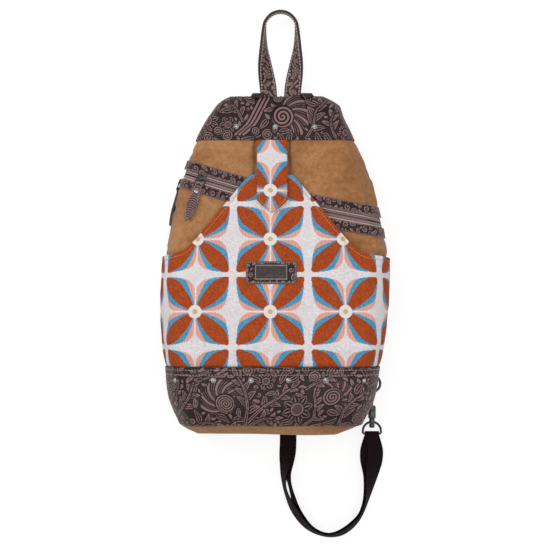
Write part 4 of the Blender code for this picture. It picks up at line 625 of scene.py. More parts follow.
def cut_stem(hide, path, wide, taper=0.45, rails=1):
    """A long raised stem along a bent line, or two side by side, thinner at its far end."""
    spots = np.array(path, float)
    t, stations = np.linspace(0, 1, 90), np.linspace(0, 1, len(spots))
    line = np.stack([follow(list(zip(stations, spots[:, k])), t) for k in (0, 1)], -1)
    middle, reach = line.mean(0), np.abs(line - line.mean(0)).max() + 5
    at = nearby(hide, middle[0], middle[1], reach)
    away = np.hypot(hide["x"][at][:, None] - line[:, 0], hide["y"][at][:, None] - line[:, 1])
    nearest = away.argmin(1)
    distance = away[np.arange(len(at)), nearest]
    edge = wide / 2 * (1 - (1 - taper) * t[nearest])
    rail = ridge(distance, edge) if rails == 1 else ridge(distance - 0.62 * edge, 0.42 * edge)
    press(hide, at, edge - distance, rail)
    return line


def cut_spray(hide, path, wide, long, count, hand=0):
    """A double stem with leaves that shorten towards its tip, on both its sides or on one hand."""
    line = cut_stem(hide, path, wide, rails=2)
    for k in range(count):
        at = int(len(line) * (0.12 + 0.82 * (k + 0.5) / count))
        heading = line[min(at + 2, 89)] - line[max(at - 2, 0)]
        side = hand or (1 if k % 2 else -1)
        aim = math.atan2(heading[1], heading[0]) + side * (0.85 - 0.25 * k / count)
        size = long * (1 - 0.35 * k / count)
        start = line[at] + (wide / 2 + 0.2) * np.array([math.cos(aim), math.sin(aim)])
        cut_leaf(hide, *start, aim, size, 0.44 * size, -0.12 * side)
    cut_stem(hide, path, wide, rails=2)
    tip = line[-1] - line[-6]
    cut_leaf(hide, *line[-1], math.atan2(tip[1], tip[0]), 0.8 * long, 0.34 * long)


def fill_with_leaves(hide, seed, low, high, tries, sizes=(15.0, 11.5, 8.5, 6.5, 5.0)):
    """Leaves, buds and small coils wherever the leather is still bare, the large ones first."""
    random = np.random.default_rng(seed)
    for long in sizes:
        bare, plump = (0.74, 0.46) if long > 8 else (0.80, 0.58)
        for _ in range(tries):
            x, y = random.uniform(low[0], high[0]), random.uniform(low[1], high[1])
            aim, kind, bow = random.uniform(0, 2 * math.pi), random.uniform(), random.uniform(-0.12, 0.12)
            at = nearby(hide, x, y, 0.40 * long)
            if len(at) < 8 or hide["free"][at].mean() < bare:
                continue
            if kind >= 0.78:
                cut_scroll(hide, x, y, 0.42 * long, aim, 1 if kind < 0.88 else -1, 2.4)
                continue
            start = (x - long / 2 * math.cos(aim), y - long / 2 * math.sin(aim))
            bent = aim + math.copysign(0.6, bow)
            middle = (start[0] - 0.3 * long * math.cos(aim), start[1] - 0.3 * long * math.sin(aim))
            root = (middle[0] - 0.4 * long * math.cos(bent), middle[1] - 0.4 * long * math.sin(bent))
            if hide["free"][nearby(hide, *root, 1.2)].all() and hide["free"][nearby(hide, *middle,
                                                                                    1.0)].all():
                cut_stem(hide, [root, middle, start], 1.9, 0.9)
            cut_leaf(hide, *start, aim, long, plump * long, 1.6 * bow)


def tooled_height(hide, plain, level, seams, groove):
    """The carving's height, 0 to 1, with its edges left plain at a level and grooves for its seams."""
    return np.clip(np.where(plain, level, hide["high"]) - groove * seams, 0, 1)


def antiqued_hide(name, cut, ground, raised, roughness=0.56):
    """Tooled cowhide: colour follows the carving, with rubbed patches, pores and a wax shine."""
    made, tree, shader = finish_of(name, roughness)
    shader.inputs["Coat Weight"].default_value = 0.04
    shader.inputs["Coat Roughness"].default_value = 0.3
    worn = unevenly(tree, kept_value(tree, "carving"), grain(tree, 60, 4), 0.35)
    colour = ramp(tree, worn, [(0.03, cut), (0.2, ground), (0.45, ground), (0.8, raised)])
    place = knot(tree, "TexCoord", output="Object")
    pore = knot(tree, "TexVoronoi", {"Vector": place, "Scale": 1400})
    colour_and_relief(tree, shader, colour, pore, 0.00012, 0.5)
    return made


def corner_swell(s):
    """Stiff leather stands off a little where it turns round the bag's side."""
    return 0.0018 * bell(np.abs(s) - 1, 0.14)


tooled_hide = antiqued_hide("tooled_hide", linear(14, 3, 5), linear(44, 24, 27), linear(139, 109, 106))
BOOT_FOOT, BOOT_TALL, BOOT_ROUND, BOOT_SEAMS = 0.0113, 0.0637, 1.75, (0.0722, 0.0668)
boot = even_cloth("tooled_boot", 520, 92)
grid = points_of(boot.data)
across, height = BOOT_ROUND * (2 * grid[:, 0] - 1), BOOT_FOOT + BOOT_TALL * grid[:, 1]
flat_x = 115 * np.clip(across, -1, 1) + round_the_side(across, 0.045)
hide = plain_hide(flat_x, height * 1000)
cut_whirl(hide, -47, 36, 10.6, 26.5, 12, 1.3, 0.5, 3.5)
cut_scroll(hide, -47, 36, 10.4, 0.4, 1, 2.4)
cut_spray(hide, [(-31, 12), (-20, 22), (-6, 34), (8, 43), (19, 53)], 4.0, 15, 9)
cut_spray(hide, [(-29, 14), (-25, 34), (-27, 50), (-34, 66)], 3.6, 15, 7)
cut_spray(hide, [(-24, 13), (-8, 20), (4, 21)], 3.2, 12, 5)
cut_spray(hide, [(-78, 46), (-72, 58), (-58, 65), (-44, 65)], 3.2, 10, 5, 1)
cut_spray(hide, [(36, 12), (46, 22), (45, 36), (42, 48), (48, 62)], 3.4, 12, 6, -1)
cut_flower(hide, 27, 30, 16, 8, 0.3)
cut_flower(hide, -6, 60, 9.5, 6, 0.2)
cut_whirl(hide, 62, 43, 9.8, 20, 12, -0.8, -0.6, 2.7)
cut_scroll(hide, 61, 43, 9.6, 1.0, -1)
cut_spray(hide, [(77, 12), (76, 26), (84, 40), (97, 50)], 3.6, 14, 7)
cut_spray(hide, [(34, 52), (46, 60), (62, 66), (80, 66)], 3.0, 11, 6)
cut_spray(hide, [(-112, 24), (-96, 30), (-84, 42), (-76, 60)], 3.6, 15, 7)
cut_spray(hide, [(-86, 12), (-72, 16), (-62, 14)], 3.0, 12, 4)
cut_spray(hide, [(-62, 70), (-74, 66), (-92, 67), (-106, 62)], 3.0, 11, 5)
for x, y, size, hand in ((-150, 42, 12, 1), (150, 40, 12, -1), (108, 28, 7, 1)):
    cut_whirl(hide, x, y, size + 0.2, 1.9 * size, 13, 0.9 * hand, 0.3, 4.4)
    cut_scroll(hide, x, y, size, 0.5, hand)
for x, y, size in ((-121, 56, 9), (122, 58, 9), (184, 40, 15), (-186, 40, 15)):
    cut_flower(hide, x, y, size, 6, 0.5)
fill_with_leaves(hide, 5, (-240, 12), (240, 74), 1400)
seam = sum(bell(height - at, 0.0006) for at in BOOT_SEAMS)
high = np.clip(hide["high"], 0, 1)
ends = rounding(np.minimum(grid[:, 1], 1 - grid[:, 1]) * BOOT_TALL, 0.0012)
slack = 0.0004 * np.sin(flat_x * 0.061 + 1) * np.sin(height * 95) * np.clip(1.6 - np.abs(across), 0, 1)
lift = HIDE_TOP + 0.0007 * (high - 0.72) - 0.0003 * seam - 0.0005 * (1 - ends) + slack
lift += corner_swell(across) * np.clip((height - 0.018) / 0.02, 0, 1)
lay(boot, 0.0010, off_skin(across, height, lift), np.clip(high - 0.25 * seam, 0, 1))
dress(boot, tooled_hide, "leather", "bottom_band")
pale_thread = thread_finish("pale_thread", linear(198, 180, 166))
s = np.linspace(-1.6, 1.6, 400)
for name, at in zip(("boot_stitch_high", "boot_stitch_low"), BOOT_SEAMS):
    path = off_skin(s, np.full(400, at), HIDE_TOP - 0.0005 + corner_swell(s))
    stitch_row(name, path, path - skin(s, at), 0.0034, 0.0026, 0.00042, pale_thread, "leather")

# Top band: the same tooled hide, cut to the bag's shoulders and lapped over its top edge.
# It is sewn along its lower edge, and the handle and the tab come out from under it.
BAND_FOOT, BAND_TALL, BAND_ROUND, BAND_SEAM = 0.3230, 0.0497, 1.45, 0.3266
band = even_cloth("tooled_top_band", 420, 76)
grid = points_of(band.data)
across, height = BAND_ROUND * (2 * grid[:, 0] - 1), BAND_FOOT + BAND_TALL * grid[:, 1]
flat_x = skin(across, height)[:, 0] * 1000 + round_the_side(across, 0.348)
hide = plain_hide(flat_x, height * 1000)
cut_whirl(hide, 10, 350, 12.2, 30, 14, 1.0, -1.0, 2.5)
for side in (0, 4.5, 9):
    cut_stem(hide, [(-42 + side, 329), (-30 + side, 340), (-22 + side, 354), (-14 + side, 370)], 3.2, 0.9)
cut_scroll(hide, 10, 349, 12, 0.2, -1, 4.3)
cut_flower(hide, -73, 344, 13, 9, 0.3)
cut_flower(hide, -50, 340, 9.5, 6, 0.1)
cut_flower(hide, 79, 331, 9, 6, 0.2)
cut_spray(hide, [(36, 325), (44, 340), (46, 354), (56, 368)], 3.4, 15, 7)
cut_spray(hide, [(68, 326), (63, 342), (66, 356)], 3.0, 12, 5)
cut_spray(hide, [(-34, 344), (-40, 356), (-50, 366)], 3.0, 12, 5)
fill_with_leaves(hide, 8, (-170, 323), (170, 373), 1300)
high = np.clip(hide["high"], 0, 1)
seam = bell(height - BAND_SEAM, 0.0006)
ends = rounding(np.minimum(grid[:, 1], 1 - grid[:, 1]) * BAND_TALL, 0.0012)
laid = off_skin(across, height, HIDE_TOP + 0.0007 * (high - 0.72) - 0.0003 * seam - 0.0005 * (1 - ends))
laid[:, 0] += 0.0055 * np.clip((across - 0.4) / 0.55, 0, 1) * bell(height - 0.364, 0.010)
laid[:, 0] -= 0.0025 * np.clip((-across - 0.4) / 0.55, 0, 1) * bell(height - 0.368, 0.006)
lay(band, 0.0010, laid, np.clip(high - 0.3 * seam, 0, 1))
dress(band, tooled_hide, "leather", "top_band")
s = np.linspace(-1.35, 1.35, 260)
path = off_skin(s, np.full(260, BAND_SEAM), np.full(260, HIDE_TOP - 0.0005))
brown_thread = thread_finish("brown_thread", linear(96, 74, 68))
stitch_row("top_band_stitch", path, path - skin(s, BAND_SEAM), 0.0032, 0.0024, 0.0004, brown_thread,
           "leather")

# Canvas shell: brushed cotton canvas, cut as front, sides, back and base and sewn into one soft bag.
# It is blown out a little by its stuffing between the seams, zips and bands that hold it down.
SLOPE = math.atan(TAPER)
ZIP_ENDS = np.array([(-0.0965, 0.2856 / math.cos(SLOPE)), (0.1162, 0.2325 / math.cos(SLOPE))])
ZIP_SAG, ZIP_GAP = 0.0045, 0.0054
chord = ZIP_ENDS[1] - ZIP_ENDS[0]
chord_length = np.hypot(*chord)
ZIP_RADIUS = (chord_length ** 2 / 4 + ZIP_SAG ** 2) / (2 * ZIP_SAG)
ZIP_CENTRE = ZIP_ENDS.mean(0) + np.array([-chord[1], chord[0]]) / chord_length * (ZIP_RADIUS - ZIP_SAG)


def zip_height(x):
    """The diagonal zip's middle line: a long arc that sags a little."""
    return (ZIP_CENTRE[1] - np.sqrt(ZIP_RADIUS ** 2 - (x - ZIP_CENTRE[0]) ** 2)) * math.cos(SLOPE)


def on_zip(s, offset):
    """Heights that stay at one distance from the zip's middle line, all across the front."""
    return settle(s + 0 * offset, 0.26, lambda x: zip_height(x) + offset)


def channel(x, height):
    """How far the flat back is pressed up where the strap lies under it."""
    level = follow(((0, 0.0086), (0.280, 0.0086), (0.323, 0.0036)), height)
    return level * np.clip((0.0146 - np.abs(x - 0.0164)) / 0.0014, 0, 1) * (height < 0.36)


# The side zip's own arc, sunk into the left side.
SIDE_ZIP_Z, SIDE_LEAN, SIDE_MIDDLE, SIDE_REACH = 0.020, math.radians(17), 0.1995, 0.0765
arc_height = np.array([0.283, 0.1995, 0.116])
edge_x = centre(arc_height) - follow(WAIST, arc_height)
arc = side_skin(edge_x, arc_height, np.arcsin(1 - SIDE_ZIP_Z / rim_at(arc_height)) * 2 / math.pi)[:, :2]
SIDE_CENTRE = np.linalg.solve(2 * (arc[1:] - arc[0]), (arc[1:] ** 2).sum(1) - (arc[0] ** 2).sum())
SIDE_RADIUS = np.hypot(*(arc[0] - SIDE_CENTRE))


def beside_side_zip(x, y, z):
    """How far a point lies across the side zip, from its middle line."""
    out = np.hypot(x - SIDE_CENTRE[0], y - SIDE_CENTRE[1]) - SIDE_RADIUS
    return (z - SIDE_ZIP_Z) * math.cos(SIDE_LEAN) + out * math.sin(SIDE_LEAN)


COLUMNS, FOOT_ROWS, LOW_ROWS, HIGH_ROWS, TOP_ROWS, DEEP_ROWS = 56, 8, 38, 14, 6, 14
ROWS = FOOT_ROWS + LOW_ROWS + 2 + HIGH_ROWS + TOP_ROWS
shape = bmesh.new()
bmesh.ops.create_cube(shape, size=2)
for axis, count in ((0, COLUMNS), (1, ROWS), (2, DEEP_ROWS)):
    runs = [edge for edge in shape.edges if abs((edge.verts[0].co - edge.verts[1].co)[axis]) > 1]
    bmesh.ops.subdivide_edges(shape, edges=runs, cuts=count - 1, use_grid_fill=True)
shell = piece_of("canvas_shell", shape)
cube = points_of(shell.data)
across, row, turn = cube[:, 0], (cube[:, 1] + 1) / 2 * ROWS, (1 - cube[:, 2]) / 2


def row_height(s, row):
    """Rows crowd into the rounded foot and top, and two of them follow the zip."""
    foot, top = ROUND_FOOT, TALL - ROUND_TOP
    middle = on_zip(np.clip(s, -1, 1), 0.0)
    low, high = middle - ZIP_GAP - 0.0015, middle + ZIP_GAP + 0.0015
    rows = np.cumsum([0, FOOT_ROWS, LOW_ROWS, 2, HIGH_ROWS, TOP_ROWS])
    share = [np.clip((row - a) / (b - a), 0, 1) for a, b in zip(rows[:-1], rows[1:])]
    height = foot * (1 - np.cos(share[0] * math.pi / 2)) + (low - foot) * share[1] + (high - low) * share[2]
    return height + (top - high) * share[3] + ROUND_TOP * np.sin(share[4] * math.pi / 2)


height = row_height(across, row)
edge_s = np.clip(across, -1, 1)
front = skin(edge_s, height)
rim = side_skin(front[:, 0], height, turn)
share = np.maximum(np.abs(cube[:, 0]), np.abs(cube[:, 1]))
out = cube / np.maximum(share, 1e-6)[:, None]
far_height = row_height(out[:, 0], (out[:, 1] + 1) / 2 * ROWS)
ring = side_skin(skin(out[:, 0], far_height)[:, 0], far_height, np.ones(len(cube)))
back = np.array([0.0, 0.190 + FOOT, 0.0]) * (1 - share)[:, None] + ring * share[:, None]
back[:, 2] = channel(back[:, 0], back[:, 1] - FOOT)
near_foot = np.clip(1 - height / 0.0125, 0, 1)
spread = near_foot * np.clip(np.abs(cube[:, 0]), 0, 1) ** 2
is_front, is_back = cube[:, 2] > 0.9999, cube[:, 2] < -0.9999
place = np.where(is_front[:, None], front, np.where(is_back[:, None], back, rim))
place[:, 0] += spread * np.where(cube[:, 0] < 0, -0.012, 0.003)
place[:, 1] -= 0.0018 * near_foot * bell(place[:, 0] - 0.040, 0.045)
move_points(shell.data, place)
shape = bmesh.new()
shape.from_mesh(shell.data)
bmesh.ops.recalc_face_normals(shape, faces=shape.faces)
shape.to_mesh(shell.data)
shape.free()

# What holds the canvas still while it is blown out: seams, bands, pocket, both zips and the back.
PRESSURE, SHRINK, LAST_FRAME, MOST_BLOWN, MOST_BY_PULLS = 4, -0.015, 20, 0.0024, 0.0008
x = place[:, 0]
past_zip = np.abs(height - on_zip(edge_s, 0.0))
held = np.zeros(len(cube))
held[is_back] = 1
held[(height < 0.080) | (height > 0.318) | (turn > 0.93)] = 1
held[(turn < 0.15) & ~is_front & (height < 0.205)] = 1
held[is_front & (past_zip < 0.018)] = 1
held[is_front & (height < mouth_height(x) + 0.004)] = 1
held[is_front & (np.abs(x - TAB_X) < 0.022)] = 1
held[(across < -0.5) & ~is_front & (height > 0.10) & (height < 0.30)] = 1
held[(across > 0.5) & ~is_front & (height < 0.11)] = 1
near_pulls = (x < -0.060) & (height > 0.175) & (height < 0.262)
group = shell.vertex_groups.new(name="held")
for level in (0, 1):
    group.add([int(i) for i in np.nonzero(held == level)[0]], float(level), "REPLACE")
cloth = shell.modifiers.new("stuffing", "CLOTH")
cloth.settings.quality = 4
cloth.settings.vertex_group_mass = "held"
cloth.settings.use_pressure = True
cloth.settings.uniform_pressure_force = PRESSURE
cloth.settings.effector_weights.gravity = 0
cloth.settings.shrink_min = SHRINK
cloth.point_cache.frame_start, cloth.point_cache.frame_end = 1, LAST_FRAME
for frame_number in range(1, LAST_FRAME + 1):
    bpy.context.scene.frame_set(frame_number)
blown = points_of(shell.evaluated_get(bpy.context.evaluated_depsgraph_get()).to_mesh())
shell.modifiers.clear()
bpy.context.scene.frame_set(1)
shift = blown - place
length = np.linalg.norm(shift, axis=1)
cap = np.where(near_pulls, MOST_BY_PULLS, MOST_BLOWN)
place = place + shift * (np.minimum(length, cap) / np.maximum(length, 1e-9))[:, None]
move_points(shell.data, place)

canvas_cloth, tree, shader = finish_of("brushed_canvas", 0.9, sheen=0.1)
brushed = blend_of(tree, (grain(tree, 16, 3), 0.55), (grain(tree, 190, 4, 0.7), 0.45))
tan = ramp(tree, brushed, [(0.32, linear(136, 88, 48)), (0.5, linear(170, 118, 74)),
                           (0.68, linear(198, 150, 104))])
# The kept "worn" value mixes in a darker brown along the widest line and on the sides near it. It also adds
# painted shade in the deepest creases.
tan = mix(tree, kept_value(tree, "worn"), tan, linear(104, 68, 42))
where, waves = knot(tree, "TexCoord", output="Object"), []
for turned in (0, math.pi / 2):
    at = knot(tree, "Mapping", {"Vector": where, "Rotation": (0, 0, turned)})
    waves.append(knot(tree, "TexWave", {"Vector": at, "Scale": 320, "Distortion": 1.5}, 1))
woven = blend_of(tree, (reckon(tree, "ADD", *waves), 0.25), (grain(tree, 420), 0.5))
dark = ramp(tree, woven, [(0.3, (0.72, 0.7, 0.68, 1)), (0.6, (1, 1, 1, 1))])
colour_and_relief(tree, shader, mix(tree, 0.5, tan, dark, "MULTIPLY"), woven, 0.0005, 0.6)


def creases_at(height, across, turn, x, y, z):
    """Soft folds of used canvas: drawn-in seams, slack swells, and a sharp fold by the pulls."""
    free = np.clip((0.318 - height) / 0.02, 0, 1) * np.clip((height - 0.03) / 0.03, 0, 1)
    free *= np.clip((np.abs(height - zip_height(x)) - 0.017) / 0.012, 0, 1)
    swell = 0.0010 * np.sin(x * 95 + 2.2 * np.sin(y * 41)) * np.sin(y * 62 + 1.7 * np.sin(x * 37) + 0.8)
    wrinkle = -0.0010 * np.where(turn > 0.01, 0.4, 1)
    wrinkle *= bell(np.sin(y * 55 + x * 21 + 1.3 * np.sin(x * 30)) - 0.4, 0.10)
    seam = -0.0009 * bell(1 - np.abs(across), 0.03) * (turn < 0.35)
    fold = -0.0020 * bell(x + 0.0945 + 0.15 * (height - 0.240), 0.0028)
    fold *= np.clip(1 - np.abs(height - 0.240) / 0.026, 0, 1)
    pleat = -0.0026 * bell(np.abs(x - TAB_X) - 0.0190, 0.0020) * (turn < 0.01)
    pleat *= np.clip((height - 0.266) / 0.006, 0, 1)
    on_left = np.clip((np.abs(across) - 0.99) * 200, 0, 1) * (across < 0) * (turn > 0.01)
    past_end = np.maximum(np.abs(height - SIDE_MIDDLE) - SIDE_REACH, 0)
    sunk = np.clip((0.0088 - np.hypot(beside_side_zip(x, y, z), past_end)) / 0.0022, 0, 1)
    return (swell + wrinkle) * free * (turn < 0.9) + seam + fold + pleat - 0.0046 * sunk * on_left


def canvas_panel(name, keep, node):
    """One cut of the shell: its squares, made finer and softly creased, sewn in along its seams."""
    panel = bpy.data.objects.new(name, shell.data.copy())
    bpy.context.scene.collection.objects.link(panel)
    mesh, labels = panel.data, ("row", "across", "turn")
    for label, values in zip(labels, (height, across, turn)):
        keep_value(mesh, label, values)
    shape = bmesh.new()
    shape.from_mesh(mesh)
    shape.verts.ensure_lookup_table()
    dropped = [face for face in shape.faces if not all(keep[vert.index] for vert in face.verts)]
    bmesh.ops.delete(shape, geom=dropped, context="FACES")
    bmesh.ops.subdivide_edges(shape, edges=shape.edges, cuts=2, use_grid_fill=True, smooth=0.6)
    shape.normal_update()
    layers = [shape.verts.layers.float[label] for label in labels]
    spots = np.array([(*(vert[layer] for layer in layers), *vert.co) for vert in shape.verts])
    creases = creases_at(*spots.T)
    for vert, rise in zip(shape.verts, creases):
        vert.co += vert.normal * float(rise)
    shape.to_mesh(mesh)
    shape.free()
    # Darker along the widest line, where the front meets the sides, and on the sides near it. Darker still
    # where the canvas is pressed in by more than 1.2 mm: this is painted shade in the deeper wrinkles, the
    # fold by the pulls, the pleats beside the tab and the side zip's groove.
    worn = 0.45 * bell(1 - np.abs(spots[:, 1]), 0.035) * (spots[:, 2] < 0.4)
    keep_value(mesh, "worn", np.clip(worn + 0.8 * np.clip((-creases - 0.0012) / 0.0016, 0, 1), 0, 1))
    mesh.shade_smooth()
    lay(panel, 0.0014)
    dress(panel, canvas_cloth, "canvas", node)


LOW_CUT, SIDE_CUT, TOP_CUT, FRONT_CUT = 0.0085, 0.345, 0.338, 0.3335
zip_row, in_sides = FOOT_ROWS + LOW_ROWS, (height > LOW_CUT) & (height < SIDE_CUT)
above_zip = row >= zip_row + 1.99
canvas_panel("front_canvas_lower", is_front & (row <= zip_row + 0.01) & (height > LOW_CUT),
             "front_panel_lower")
canvas_panel("front_canvas_upper", is_front & (height < FRONT_CUT) & above_zip, "front_panel_upper")
canvas_panel("side_canvas_left", (across < -0.9999) & in_sides, "side_gusset_left")
canvas_panel("side_canvas_right", (across > 0.9999) & in_sides, "side_gusset_right")
canvas_panel("back_canvas", is_back, "back_panel")
canvas_panel("base_canvas", (row < 4.01) & ~is_back, "base_panel")
canvas_panel("top_canvas", (height > TOP_CUT) & ~is_back & above_zip, "top_gusset")
bpy.data.objects.remove(shell)

# Diagonal zip: two ribbed tapes with a coil between them, sewn under two strips of the tooled hide.
# The strips' long edges are turned under and sewn down. Places on tapes and strips are in mm.
COIL_MIDDLE, COIL_HALF, RIB_START, RIB_EVERY, TOOTH_EVERY, WELT_WIDE = 1.75, 0.75, 4.1, 2.1, 1.3, 11.5
tape_cloth, tree, shader = finish_of("ribbed_tape", 0.62, sheen=0.08)
fibre = grain(tree, 700)
level = unevenly(tree, kept_value(tree, "carving"), fibre, 0.35)
colour = ramp(tree, level, [(0.1, linear(60, 42, 40)), (0.42, linear(132, 107, 104)),
                            (0.78, linear(206, 178, 173))])
colour_and_relief(tree, shader, colour, fibre, 0.0002, 0.5)
for name, side in (("zip_tape_upper", 1), ("zip_tape_lower", -1)):
    tape = even_cloth("front_" + name, 520, 22)
    grid = points_of(tape.data)
    s, offset = 0.998 * (2 * grid[:, 0] - 1), side * (0.0008 + 0.0100 * grid[:, 1])
    from_middle, height = np.abs(offset) * 1000, on_zip(s, offset)
    run = skin(s, height)[:, 0] * 1000 / math.cos(SLOPE)
    coil = np.exp(-((from_middle - COIL_MIDDLE) / COIL_HALF) ** 4)
    rib = 0.5 + 0.5 * np.cos(2 * math.pi * (from_middle - RIB_START) / RIB_EVERY)
    tooth = 0.5 + 0.5 * np.sin(2 * math.pi * run / TOOTH_EVERY + side)
    lift = -0.0020 + 0.0011 * coil + 0.00035 * rib * (1 - coil) + 0.00028 * tooth * coil
    carving = np.where(coil > 0.5, 0.2 + 0.5 * tooth, 0.05 + 0.95 * rib)
    lay(tape, 0.0005, off_skin(s, height, lift), carving)
    dress(tape, tape_cloth, "tape", name)
welt_thread = thread_finish("welt_thread", linear(150, 124, 112))
for name, side, seed in (("zip_welt_upper", 1, 3), ("zip_welt_lower", -1, 4)):
    welt = even_cloth("tooled_" + name, 420, 26)
    grid = points_of(welt.data)
    s, share = 0.995 * (2 * grid[:, 0] - 1), grid[:, 1] if side > 0 else 1 - grid[:, 1]
    height = on_zip(s, side * (ZIP_GAP + WELT_WIDE / 1000 * share))
    run = skin(s, height)[:, 0] * 1000 / math.cos(SLOPE) + round_the_side(s, 0.26)
    hide = plain_hide(run, share * WELT_WIDE)
    for k in range(15):
        at, hand = -155 + 21.5 * k + 2.3 * (seed % 2), (-1) ** k
        cut_scroll(hide, at, 5.2 + 0.9 * hand, 3.6, k, hand, 2.5)
        cut_leaf(hide, at + 4.2, 7.5 - 4.2 * (k % 2), 0.5 * hand, 9.5, 5.0, 0.08)
        cut_leaf(hide, at + 13.5, 5.4, 2.7 - 0.5 * (k % 3), 8.5, 4.6, -0.08)
    fill_with_leaves(hide, seed, (-150, 0.6), (150, 10.9), 1200, (5.2, 3.8))
    edge = np.minimum(share, 1 - share) * WELT_WIDE
    high = tooled_height(hide, edge < 0.9, 0.75, bell(edge - 1.5, 0.45), 0.3)
    lift = 0.0006 + 0.0009 * rounding(edge, 0.7) + 0.0004 * (high - 0.6)
    lay(welt, 0.0009, off_skin(s, height, lift), high)
    dress(welt, tooled_hide, "leather", name)
    line = np.linspace(-0.98, 0.98, 260)
    for label, way in (("near", 0.0015), ("far", 0.0100)):
        level = on_zip(line, side * (ZIP_GAP + way))
        path = off_skin(line, level, np.full(260, 0.00125 if side > 0 or label == "near" else 0.00085))
        row, outward = f"{name}_stitch_{label}", path - skin(line, level)
        stitch_row(row, path, outward, 0.0031, 0.0023, 0.00036, welt_thread, "leather")

# Side zip: the main opening's coil zip runs down the left side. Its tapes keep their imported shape
# and take the same ribbed cloth, with the ribs drawn along the tape.
side_tape, tree, shader = finish_of("side_tape", 0.62, sheen=0.08)
where = knot(tree, "TexCoord", output="Object")
lines = knot(tree, "TexWave", {"Vector": where, "Scale": 190}, 1, bands_direction="Z")
level = blend_of(tree, (lines, 0.7), (grain(tree, 800), 0.3))
colour = ramp(tree, level, [(0.2, linear(66, 48, 46)), (0.9, linear(140, 116, 110))])
colour_and_relief(tree, shader, colour, level, 0.0003, 0.6)


def finish_nodes(material, *nodes):
    """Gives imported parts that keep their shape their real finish."""
    for part in (bpy.data.objects[node] for node in nodes):
        if not part.material_slots:
            part.data.materials.append(material)
        for slot in part.material_slots:
            slot.material = material


finish_nodes(side_tape, "side_zip_tape_front", "side_zip_tape_back")

# Name patch: a small tooled leather patch sewn on the pocket, with a bare, dark cast plate pinned on it.
# The plate has a thin rubbed border and a lightly hammered middle. Sizes in the flat are in mm.
PATCH_MIDDLE, PATCH_HEIGHT, POCKET_FACE = -0.0025, 0.1755, 0.0074
PATCH_SIZE, SEAM_HALF, PLATE_SIZE = (55, 24), (25.8, 10.3), (36.4, 17.4)


def flat_piece(name, squares, size):
    """An even cloth in the flat: the piece, each point's place, and how far it lies from the edge."""
    piece = even_cloth(name, *squares)
    places = (points_of(piece.data)[:, :2] - 0.5) * size
    return piece, *places.T, (np.array(size) / 2 - np.abs(places)).min(1)


def on_pocket(flat_u, flat_v, lift):
    """Points that stand lift off the bulging pocket's face, about the patch's middle."""
    x, height = PATCH_MIDDLE + flat_u / 1000, PATCH_HEIGHT + flat_v / 1000
    bulge = pocket_stand(x / 0.120, height) - pocket_stand(0.0, PATCH_HEIGHT)
    return off_skin(x, height, POCKET_FACE + lift + bulge, on_front)


patch, flat_u, flat_v, edge = flat_piece("sewn_patch", (120, 56), PATCH_SIZE)
hide = plain_hide(flat_u, flat_v)
for side in (-1, 1):
    cut_scroll(hide, 21.5 * side, 2.6 * side, 3.0, side, side, 2.2)
    cut_leaf(hide, 23.5 * side, -9.0 * side, 1.6 * side + 3.1 * (side < 0), 8.0, 4.2)
fill_with_leaves(hide, 21, (-27, -11.5), (27, 11.5), 700, (5.0, 3.6))
high = tooled_height(hide, edge < 1.1, 0.7, bell(edge - 1.7, 0.4), 0.4)
lift = 0.0009 + 0.0008 * rounding(edge, 0.9) + 0.0003 * (high - 0.6)
lay(patch, 0.0011, on_pocket(flat_u, flat_v, lift), high)
dress(patch, tooled_hide, "leather", "patch")
corner = np.array([(-1, -1), (1, -1), (1, 1), (-1, 1), (-1, -1)], float) * SEAM_HALF
turns = np.linspace(0, 4, 161)
line = np.stack([np.interp(turns, range(5), corner[:, k]) for k in (0, 1)], -1)
x, height = PATCH_MIDDLE + line[:, 0] / 1000, PATCH_HEIGHT + line[:, 1] / 1000
path = off_skin(x, height, np.full(161, POCKET_FACE + 0.0014), on_front)
stitch_row("patch_stitch", path, path - on_front(x, height), 0.0026, 0.0019, 0.00036, pale_thread, "leather")

aged_plate, tree, shader = finish_of("aged_plate", 0.38, metallic=0.9)
dents = grain(tree, 420)
level = unevenly(tree, kept_value(tree, "carving"), dents, 0.4)
colour = ramp(tree, level, [(0.1, linear(62, 55, 53)), (0.5, linear(112, 104, 100)),
                            (0.95, linear(176, 168, 160))])
colour_and_relief(tree, shader, colour, dents, 0.0003, 0.5)
plate, flat_u, flat_v, edge = flat_piece("bare_plate", (90, 44), PLATE_SIZE)
border = ridge(edge - 1.3, 0.45)
lift = 0.0021 + 0.0007 * rounding(edge, 0.7) + 0.0002 * border
carving = np.clip(0.1 + 0.6 * border + 0.3 * (edge < 0.4), 0, 1)
lay(plate, 0.0009, on_pocket(flat_u, flat_v, lift), carving)
dress(plate, aged_plate, "gunmetal", "name_plate")


# Studs: cast domes with a turned lip and two prongs bent over inside, nickel plated.
# Three sit along the top band and six under the boot's stitching.
def metal_finish(name, worn, bright, roughness):
    """Plated metal: a cloudy polish, a little duller where hands rub it."""
    made, tree, shader = finish_of(name, roughness, metallic=1.0)
    cloud = grain(tree, 260, 3)
    haze = knot(tree, "MapRange", {"Value": cloud, "To Min": 0.75 * roughness, "To Max": 1.4 * roughness})
    tree.links.new(haze, shader.inputs["Roughness"])
    colour = ramp(tree, cloud, [(0.35, worn), (0.65, bright)])
    colour_and_relief(tree, shader, colour, cloud, 0.00015, 0.25)
    return made


pale_plating = metal_finish("pale_plating", (0.30, 0.29, 0.29, 1), (0.56, 0.55, 0.55, 1), 0.26)
gunmetal = metal_finish("gunmetal_plating", (0.060, 0.058, 0.060, 1), (0.13, 0.128, 0.13, 1), 0.30)


def middle_of(node):
    return np.array([(a + b) / 2 for a, b in zip(*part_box(node))])


